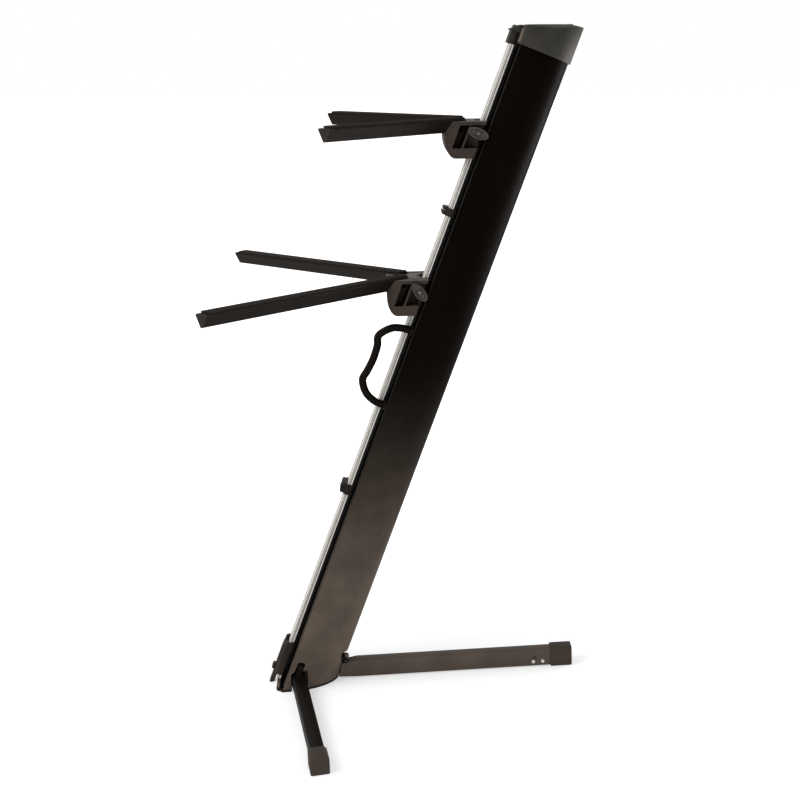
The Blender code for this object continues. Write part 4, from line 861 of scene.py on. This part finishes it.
def screw_tree():
    """Cross-recess screw: shank down -Z, chamfered head above 0."""
    tree, given, result = start_shape("cross screw", ("Head Radius", "Float", 0.0031),
                                      ("Head Height", "Float", 0.0010), ("Shank Radius", "Float", 0.0031),
                                      ("Shank Length", "Float", 0.0100), ("Recess", "Float", 0.0011),
                                      ("Recess Depth", "Float", 0.0012))
    length = given["Shank Length"]
    radius = given["Head Radius"]
    height = given["Head Height"]
    feeds = {"Vertices": SCREW_SIDES, "Radius": given["Shank Radius"], "Depth": length}
    shank = put(tree, "GeometryNodeMeshCylinder", feeds).outputs[0]
    shank = moved(tree, shank, times(tree, length, -0.5))
    feeds = {"Vertices": SCREW_SIDES, "Radius Bottom": radius,
             "Radius Top": times(tree, radius, SCREW_CHAMFER), "Depth": times(tree, height, 1 + SCREW_SINK)}
    head = put(tree, "GeometryNodeMeshCone", feeds).outputs[0]
    head = moved(tree, head, times(tree, height, -SCREW_SINK))
    whole = put(tree, "GeometryNodeMeshBoolean", operation="UNION", solver="EXACT")
    cut = put(tree, "GeometryNodeMeshBoolean", {"Mesh 1": whole.outputs[0]}, operation="DIFFERENCE",
              solver="EXACT")
    for part in (head, shank):
        tree.links.new(part, whole.inputs["Mesh 2"])
    long = times(tree, radius, SLOT_REACH)
    deep = times(tree, given["Recess Depth"], 2.0)
    for sides in ((long, given["Recess"]), (given["Recess"], long)):
        size = put(tree, "ShaderNodeCombineXYZ", {0: sides[0], 1: sides[1], 2: deep}).outputs[0]
        slot = put(tree, "GeometryNodeMeshCube", {"Size": size}).outputs[0]
        tree.links.new(moved(tree, slot, height), cut.inputs["Mesh 2"])
    finish_tree(tree, given, result, cut.outputs[0], smooth=False)


def prism(name, outline, low, high, place, edge):
    """Extrude an outline between two heights and soften its edges."""
    count = len(outline)
    verts = [place @ Vector((x, y, height)) for height in (low, high) for x, y in outline]
    faces = [tuple(reversed(range(count))), tuple(range(count, 2 * count))]
    faces += [(i, (i + 1) % count, count + (i + 1) % count, count + i) for i in range(count)]
    return round_edges(shell_object(name, verts, faces, SMOOTH_ANGLE), edge, PRISM_ANGLE)


def ring(long, short, height):
    """Points of an oval at a height."""
    turns = [2 * pi * i / RING_POINTS for i in range(RING_POINTS)]
    return [Vector((long * cos(turn), short * sin(turn), height)) for turn in turns]


def loft(name, rings):
    """Skin a row of rings, with the last joined back to the first."""
    verts = [point for one in rings for point in one]
    faces = []
    for k in range(len(rings)):
        here = k * RING_POINTS
        there = (k + 1) % len(rings) * RING_POINTS
        for i in range(RING_POINTS):
            j = (i + 1) % RING_POINTS
            faces.append((here + i, here + j, there + j, there + i))
    return shell_object(name, verts, faces, LOFT_ANGLE)


def place_mesh(piece, place):
    """Move a piece's mesh and keep its faces pointing outwards."""
    piece.data.transform(place)
    if place.determinant() < 0:
        piece.data.flip_normals()
    return piece


def make_beads():
    """Beads on the column's front corners and beside the cap's hook."""
    sizes = bpy.context.scene.stand_details
    radius = sizes.corner_bead
    for side, sign in SIDES.items():
        x = sign * (COLUMN_HALF_WIDTH - radius * CORNER_BEAD_INSET)
        ends = [COLUMN @ Vector((x, radius * CORNER_BEAD_SINK, along)) for along in (COLUMN_LOW, COLUMN_HIGH)]
        # Painted highlight: the corner bead's finish is lighter than the column's
        bead = round_bar(side + "_corner_bead", ends, [(0, 1)], radius, CORNER_BEAD_SIDES, "corner")
        trim(bead, "stand", "column")
        ends = [COLUMN @ Vector((sign * CAP_BEAD_X, CAP_BEAD_DEPTH, along)) for along in CAP_BEAD_SPAN]
        # Painted highlight: the cap bead's finish is lighter than the cap's
        bead = round_bar(side + "_cap_bead", ends, [(0, 1)], sizes.cap_bead, CAP_BEAD_SIDES, "bead")
        trim(bead, "stand", "cap")


def make_cap_brow():
    """Sloping brow that carries the cap's crown over its hook, with a thin lip."""
    sideways = COLUMN @ Matrix(((0, 0, 1, 0), (1, 0, 0, 0), (0, 1, 0, 0), (0, 0, 0, 1)))
    brow = prism("cap_brow", BROW_PROFILE, -BROW_HALF_WIDTH, BROW_HALF_WIDTH, sideways, BROW_EDGE)
    return trim(brow, "stand", "cap")


def make_latch_cheeks():
    """Cheeks of the latch housing that wrap the rail's flanges, and the lever's pad."""
    for side, sign in SIDES.items():
        outline = [(sign * x, depth) for x, depth in CHEEK_OUTLINE]
        cheek = prism(side + "_latch_cheek", outline, *LATCH_SPAN, COLUMN, CHEEK_EDGE)
        trim(reshape(cheek, top_levelled), "stand", "plastic")
    trim(prism("latch_lever_pad", LATCH_PAD, *LATCH_PAD_SPAN, COLUMN, LATCH_PAD_EDGE), "latch", "plastic")


def make_latch_stubs():
    """Two stub pins in the latch housing's walls, beside the lever."""
    low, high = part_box("latch_pin")
    middle = COLUMN.inverted() @ ((low + high) / 2)
    ends = [COLUMN @ Vector((x, middle.y * RAIL_DRAW, middle.z)) for x in LATCH_STUB_X]
    stubs = round_bar("latch_pin_finished", ends, [(0, 1), (2, 3)], LATCH_STUB_RADIUS, LATCH_STUB_SIDES,
                      "steel")
    return stand_in(stubs, "latch_pin")


def knob_place(tier, side):
    """Placement of a clamp knob: X along its length, Z outward from the column."""
    facts = TIERS[tier]
    along = (facts["top"] - KNOB_DROP + KNOB_DEPTH * sin(LEAN)) / cos(LEAN)
    centre = COLUMN @ Vector((0, KNOB_DEPTH, along))
    place = placement(centre, INTO_COLUMN, UP_COLUMN, RIGHT) @ Matrix.Rotation(facts["knob_turn"], 4, "Z")
    return Matrix.Diagonal((-1, 1, 1, 1)) @ place if side == "left" else place


def make_knob(tier, side):
    """Oval clamp knob with a raised rim, a dished face and a boss round its screw."""
    sizes = bpy.context.scene.stand_details
    long = sizes.knob_long / 2
    short = sizes.knob_short / 2
    rim = sizes.knob_rim
    low = KNOB_INNER_X
    high = low + sizes.knob_thick
    bore = sizes.screw_radius + KNOB_BORE_GAP
    hub = KNOB_HUB_RADIUS
    rings = [ring(bore, bore, KNOB_HUB_X), ring(hub, hub, KNOB_HUB_X), ring(hub, hub, low)]
    rings += [ring(long - inset, short - inset, low + rise) for inset, rise in KNOB_SKIRT]
    rings += [ring(long - inset, short - inset, high + rise) for inset, rise in KNOB_SHOULDER]
    rings += [ring(long - rim - along, short - rim - across, high + rise)
              for along, across, rise in KNOB_DISH]
    rings += [ring(along, across, high + rise) for along, across, rise in KNOB_BOSS]
    rings += [ring(bore + growth, bore + growth, high + rise) for growth, rise in KNOB_LEAD]
    node = f"{tier}_{side}_knob"
    return stand_in(place_mesh(loft(node + "_finished", rings), knob_place(tier, side)), node)


def make_clamp_screw(tier, side):
    """Screw through a knob, with its stud that reaches for the rail."""
    sizes = bpy.context.scene.stand_details
    node = f"{tier}_{side}_knob_screw"
    outer = KNOB_INNER_X + sizes.knob_thick
    piece = mesh_object(node + "_finished", [])
    grow(piece, "cross screw", "clamp_steel", {
        "Head Radius": sizes.screw_radius, "Head Height": CLAMP_HEAD,
        "Shank Radius": sizes.screw_radius - CLAMP_NECK, "Shank Length": outer - STUD_TIP_X,
        "Recess": sizes.recess, "Recess Depth": CLAMP_RECESS_DEPTH})
    place = knob_place(tier, side) @ Matrix.Translation((0, 0, outer))
    return stand_in(place_mesh(piece, place @ Matrix.Rotation(CLAMP_SCREW_TURN, 4, "Z")), node, "clamp_steel")


def make_foot_screws():
    """Screws on the near face of the rear leg, and the empty hole beside them."""
    sizes = bpy.context.scene.stand_details
    outward = Matrix.Rotation(pi / 2, 4, "Y")
    for node in ("rear_leg_screw_outer", "rear_leg_screw_inner"):
        low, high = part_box(node)
        middle = (low + high) / 2
        piece = mesh_object(node + "_finished", [])
        grow(piece, "cross screw", "steel", {
            "Head Radius": sizes.foot_screw_radius, "Head Height": high.x - low.x - FOOT_SCREW_SEAT,
            "Shank Radius": sizes.foot_screw_radius - FOOT_SCREW_NECK, "Shank Length": FOOT_SCREW_SEAT,
            "Recess": sizes.recess * FOOT_SCREW_RECESS, "Recess Depth": FOOT_SCREW_RECESS_DEPTH})
        place = Matrix.Translation((low.x + FOOT_SCREW_SEAT, middle.y, middle.z)) @ outward
        stand_in(place_mesh(piece, place @ Matrix.Rotation(FOOT_SCREW_TURN, 4, "Z")), node)
    low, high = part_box("rear_leg_screw_inner")
    centre = Vector((REAR_LEG_FACE_X, (low.y + high.y) / 2, high.z)) + GROMMET_OFFSET
    hole = loft("rear_leg_grommet", [ring(radius, radius, height) for radius, height in GROMMET])
    return trim(place_mesh(hole, Matrix.Translation(centre) @ outward), "rear_leg", "plastic")


def handle_route():
    """Centre line of the carry handle, as points of depth and along."""
    knots = [Vector((depth, HANDLE_MIDDLE + HANDLE_RAISE + along)) for depth, along in HANDLE_KNOTS]
    last = len(knots) - 1
    points = []
    for i in range(last):
        here = knots[i]
        there = knots[i + 1]
        before = knots[i - 1] if i > 0 else here * 2 - there
        after = knots[i + 2] if i + 2 <= last else there * 2 - here
        pull = (there - before) / 2
        push = (after - here) / 2
        for k in range(HANDLE_STEPS):
            t = k / HANDLE_STEPS
            points.append(here * (2 * t ** 3 - 3 * t ** 2 + 1) + pull * (t ** 3 - 2 * t ** 2 + t)
                          + there * (3 * t ** 2 - 2 * t ** 3) + push * (t ** 3 - t ** 2))
    return points + [knots[last]]


def make_handle():
    """Carry handle as a round bar along its centre line."""
    route = [COLUMN @ Vector((HANDLE_X, depth, along)) for depth, along in handle_route()]
    edges = [(i, i + 1) for i in range(len(route) - 1)]
    radius = bpy.context.scene.stand_details.grip
    handle = round_bar("carry_handle_finished", route, edges, radius, HANDLE_SIDES, "grip")
    return stand_in(handle, "carry_handle")


def arm_place(tier, side):
    """Placement of an arm: X across it, Y up and Z outward along it."""
    top = TIERS[tier]["top"]
    sign = SIDES[side]
    outward = Vector((sign * sin(ARM_SPLAY), -cos(ARM_SPLAY), 0))
    start = Vector((sign * ARM_ORIGIN[0], FRONT_LINE_Y + ARM_ORIGIN[1] + top * tan(LEAN), top + ARM_PROUD))
    return placement(start, UP.cross(outward), UP, outward)


def make_ribs(tier, side):
    """Ribs along the rubber strip of an arm."""
    sizes = bpy.context.scene.stand_details
    place = arm_place(tier, side)
    span = (ARM_ROOT + STRIP_INSETS[0], TIERS[tier]["reach"] - STRIP_INSETS[1])
    ends = [place @ Vector((0, STRIP_TOP - sizes.rib * RIB_SINK, along)) for along in span]
    line = mesh_object(f"{tier}_{side}_strip_ribs", ends, edges=[(0, 1)])
    across = place.to_3x3() @ RIGHT
    grow(line, "strip ribs", "strip", {"Count": sizes.rib_count, "Pitch": sizes.rib_pitch,
                                       "Radius": sizes.rib, "Sideways": across})
    return trim(line, tier + "_tier", "strip")


class STAND_OT_finishes(Operator):
    """Build the shared effects and every finish of the stand"""
    bl_idname = "stand.finishes"
    bl_label = "Make finishes"

    def execute(self, context):
        for make in (grain_group, wear_group, dust_and_light_group, recess_shade_group, channel_shade_group, lines_group,
                     path_tree, rib_tree, screw_tree):
            make()
        bare_rail("stand_rail", "rail")
        for name, facts in COATS.items():
            coated("stand_" + name, **facts)
        for name, facts in STEELS.items():
            bright_steel("stand_" + name, **facts)
        return {"FINISHED"}


class STAND_OT_column(Operator):
    """Dress the column, its front corners, the rail, the cap, the boot and the sole"""
    bl_idname = "stand.column"
    bl_label = "Dress column"

    def execute(self, context):
        edge = context.scene.stand_details.edge
        finished_copy("column_extrusion")
        finished_copy("front_rail", RAIL_EDGE, drawn_in)
        finished_copy("top_cap", change=crown_raised)
        finished_copy("base_boot", edge, drawn_level)
        finished_copy("boot_sole", edge, drawn_level)
        make_cap_brow()
        make_beads()
        return {"FINISHED"}


class STAND_OT_legs(Operator):
    """Dress the three legs with their hinges, feet and screws"""
    bl_idname = "stand.legs"
    bl_label = "Dress legs"

    def execute(self, context):
        edge = context.scene.stand_details.edge
        for side in SIDES:
            finished_copy(side + "_leg_tube", finish="side_leg")
            restretched(finished_copy(side + "_foot_cap"), FOOT_HEIGHTS, SIDE_FOOT_HEIGHTS)
            finished_copy(side + "_leg_hinge", edge)
        restretched(finished_copy("rear_leg_tube"), TUBE_HEIGHTS, REAR_TUBE_HEIGHTS)
        restretched(finished_copy("rear_foot_cap"), FOOT_HEIGHTS, REAR_FOOT_HEIGHTS)
        hinge = end_slanted(finished_copy("rear_leg_hinge", edge, finish="leg"))
        restretched(hinge, TUBE_HEIGHTS, REAR_TUBE_HEIGHTS, REAR_SHOULDER_Y)
        finished_copy("rear_hinge_bracket", edge)
        repaint("right_leg_pin", "left_leg_pin", "rear_leg_pin")
        make_foot_screws()
        return {"FINISHED"}


class STAND_OT_tiers(Operator):
    """Dress the two tiers: castings, arms, strips, jaws, knobs and screws"""
    bl_idname = "stand.tiers"
    bl_label = "Dress tiers"

    def execute(self, context):
        for tier in TIERS:
            finished_copy(tier + "_bracket")
            for side in ("left", "right"):
                name = f"{tier}_{side}"
                finished_copy(name + "_arm")
                finished_copy(name + "_arm_plug")
                finished_copy(name + "_arm_strip", STRIP_EDGE)
                repaint(name + "_clamp_jaw")
                make_ribs(tier, side)
                make_knob(tier, side)
                make_clamp_screw(tier, side)
        return {"FINISHED"}


class STAND_OT_fittings(Operator):
    """Dress the carry handle, the cable clips and the latch"""
    bl_idname = "stand.fittings"
    bl_label = "Dress fittings"

    def execute(self, context):
        edge = context.scene.stand_details.edge
        make_handle()
        for node in ("handle_foot_top", "handle_foot_bottom"):
            finished_copy(node, edge, foot_raised)
        for node in ("upper_cable_clip", "lower_cable_clip"):
            finished_copy(node, CLIP_EDGE, drawn_in)
        finished_copy("latch_housing", HOUSING_EDGE, head_lowered)
        finished_copy("latch_lever", CLIP_EDGE, toe_shortened)
        make_latch_cheeks()
        make_latch_stubs()
        return {"FINISHED"}


class STAND_OT_stage(Operator):
    """Set the floor, the lights, the white surround and the camera"""
    bl_idname = "stand.stage"
    bl_label = "Set stage"

    def execute(self, context):
        facts = context.scene.stand_stage
        context.scene.view_settings.view_transform = "Standard"
        corners = [(x * FLOOR_REACH, y * FLOOR_REACH, 0) for x, y in ((-1, -1), (1, -1), (1, 1), (-1, 1))]
        floor = mesh_object("studio_floor", corners, [(0, 1, 2, 3)])
        floor.data.materials.append(floor_paint(tuple(facts.floor)))
        surround(facts.sky)
        for name, (size, place, target) in LIGHTS.items():
            soft_light(name, getattr(facts, name), size, place, target)
        set_camera(facts)
        return {"FINISHED"}


def seen_directly(tree):
    """Share that is 1 for rays of the camera or through glass."""
    path = put(tree, "ShaderNodeLightPath")
    return maths(tree, "MAXIMUM", path.outputs["Is Camera Ray"], path.outputs["Is Transmission Ray"])


def floor_paint(colour):
    """White floor that keeps the object's shadow."""
    material = bpy.data.materials.new("studio_floor")
    material.use_nodes = True
    tree = material.node_tree
    tree.nodes.clear()
    lit = put(tree, "ShaderNodeBsdfDiffuse", {"Color": (*colour, 1)}).outputs[0]
    feeds = {0: object_place(tree), 1: FLOOR_CENTRE}
    away = put(tree, "ShaderNodeVectorMath", feeds, operation="DISTANCE").outputs["Value"]
    strength = times(tree, seen_directly(tree), ramp(tree, away, *FLOOR_GLOW))
    glow = put(tree, "ShaderNodeEmission", {"Color": (1, 1, 1, 1), "Strength": strength}).outputs[0]
    both = put(tree, "ShaderNodeAddShader", {0: lit, 1: glow}).outputs[0]
    put(tree, "ShaderNodeOutputMaterial", {"Surface": both})
    return material


def surround(strength):
    """World that is plain white where it is seen and soft light elsewhere."""
    world = bpy.data.worlds.new("studio")
    bpy.context.scene.world = world
    world.use_nodes = True
    tree = world.node_tree
    tree.nodes.clear()
    level = ramp(tree, seen_directly(tree), 0.0, 1.0, strength, 1.0)
    back = put(tree, "ShaderNodeBackground", {"Color": (1, 1, 1, 1), "Strength": level}).outputs[0]
    put(tree, "ShaderNodeOutputWorld", {"Surface": back})


def soft_light(name, power, size, place, target):
    data = bpy.data.lights.new(name, "AREA")
    data.energy = power
    data.size = size
    lamp = bpy.data.objects.new(name + "_light", data)
    bpy.context.scene.collection.objects.link(lamp)
    lamp.location = place
    lamp.rotation_euler = (Vector(target) - Vector(place)).to_track_quat("-Z", "Y").to_euler()


def set_camera(facts):
    """Camera of the photograph's view."""
    data = bpy.data.cameras.new("photo_view")
    data.sensor_width = SENSOR
    data.lens = facts.lens
    data.shift_x, data.shift_y = facts.shift
    data.clip_start, data.clip_end = CLIP_SPAN
    camera = bpy.data.objects.new("photo_view", data)
    bpy.context.scene.collection.objects.link(camera)
    camera.location = facts.camera_place
    camera.rotation_euler = facts.camera_turn
    bpy.context.scene.camera = camera


class STAND_PT_panel(Panel):
    """Sizes, finishes and steps of the keyboard stand"""
    bl_idname = "STAND_PT_panel"
    bl_label = "Column keyboard stand"
    bl_space_type = "VIEW_3D"
    bl_region_type = "UI"
    bl_category = "Stand"

    def draw(self, context):
        for group in (context.scene.stand_finishes, context.scene.stand_details, context.scene.stand_stage):
            box = self.layout.box()
            for name in group.bl_rna.properties.keys():
                if name not in ("rna_type", "name"):
                    box.prop(group, name)
        for step in STEPS:
            self.layout.operator(step.bl_idname)


GROUPS = {"stand_finishes": StandFinishes, "stand_details": StandDetails, "stand_stage": StandStage}
STEPS = (STAND_OT_finishes, STAND_OT_column, STAND_OT_legs, STAND_OT_tiers, STAND_OT_fittings, STAND_OT_stage)


def register():
    for name, group in GROUPS.items():
        bpy.utils.register_class(group)
        setattr(bpy.types.Scene, name, PointerProperty(type=group))
    for step in STEPS:
        bpy.utils.register_class(step)
    bpy.utils.register_class(STAND_PT_panel)


def unregister():
    bpy.utils.unregister_class(STAND_PT_panel)
    for step in reversed(STEPS):
        bpy.utils.unregister_class(step)
    for name, group in GROUPS.items():
        delattr(bpy.types.Scene, name)
        bpy.utils.unregister_class(group)


def main():
    register()
    bpy.ops.stand.finishes()
    bpy.ops.stand.column()
    bpy.ops.stand.legs()
    bpy.ops.stand.tiers()
    bpy.ops.stand.fittings()
    bpy.ops.stand.stage()


if __name__ == "__main__":
    main()
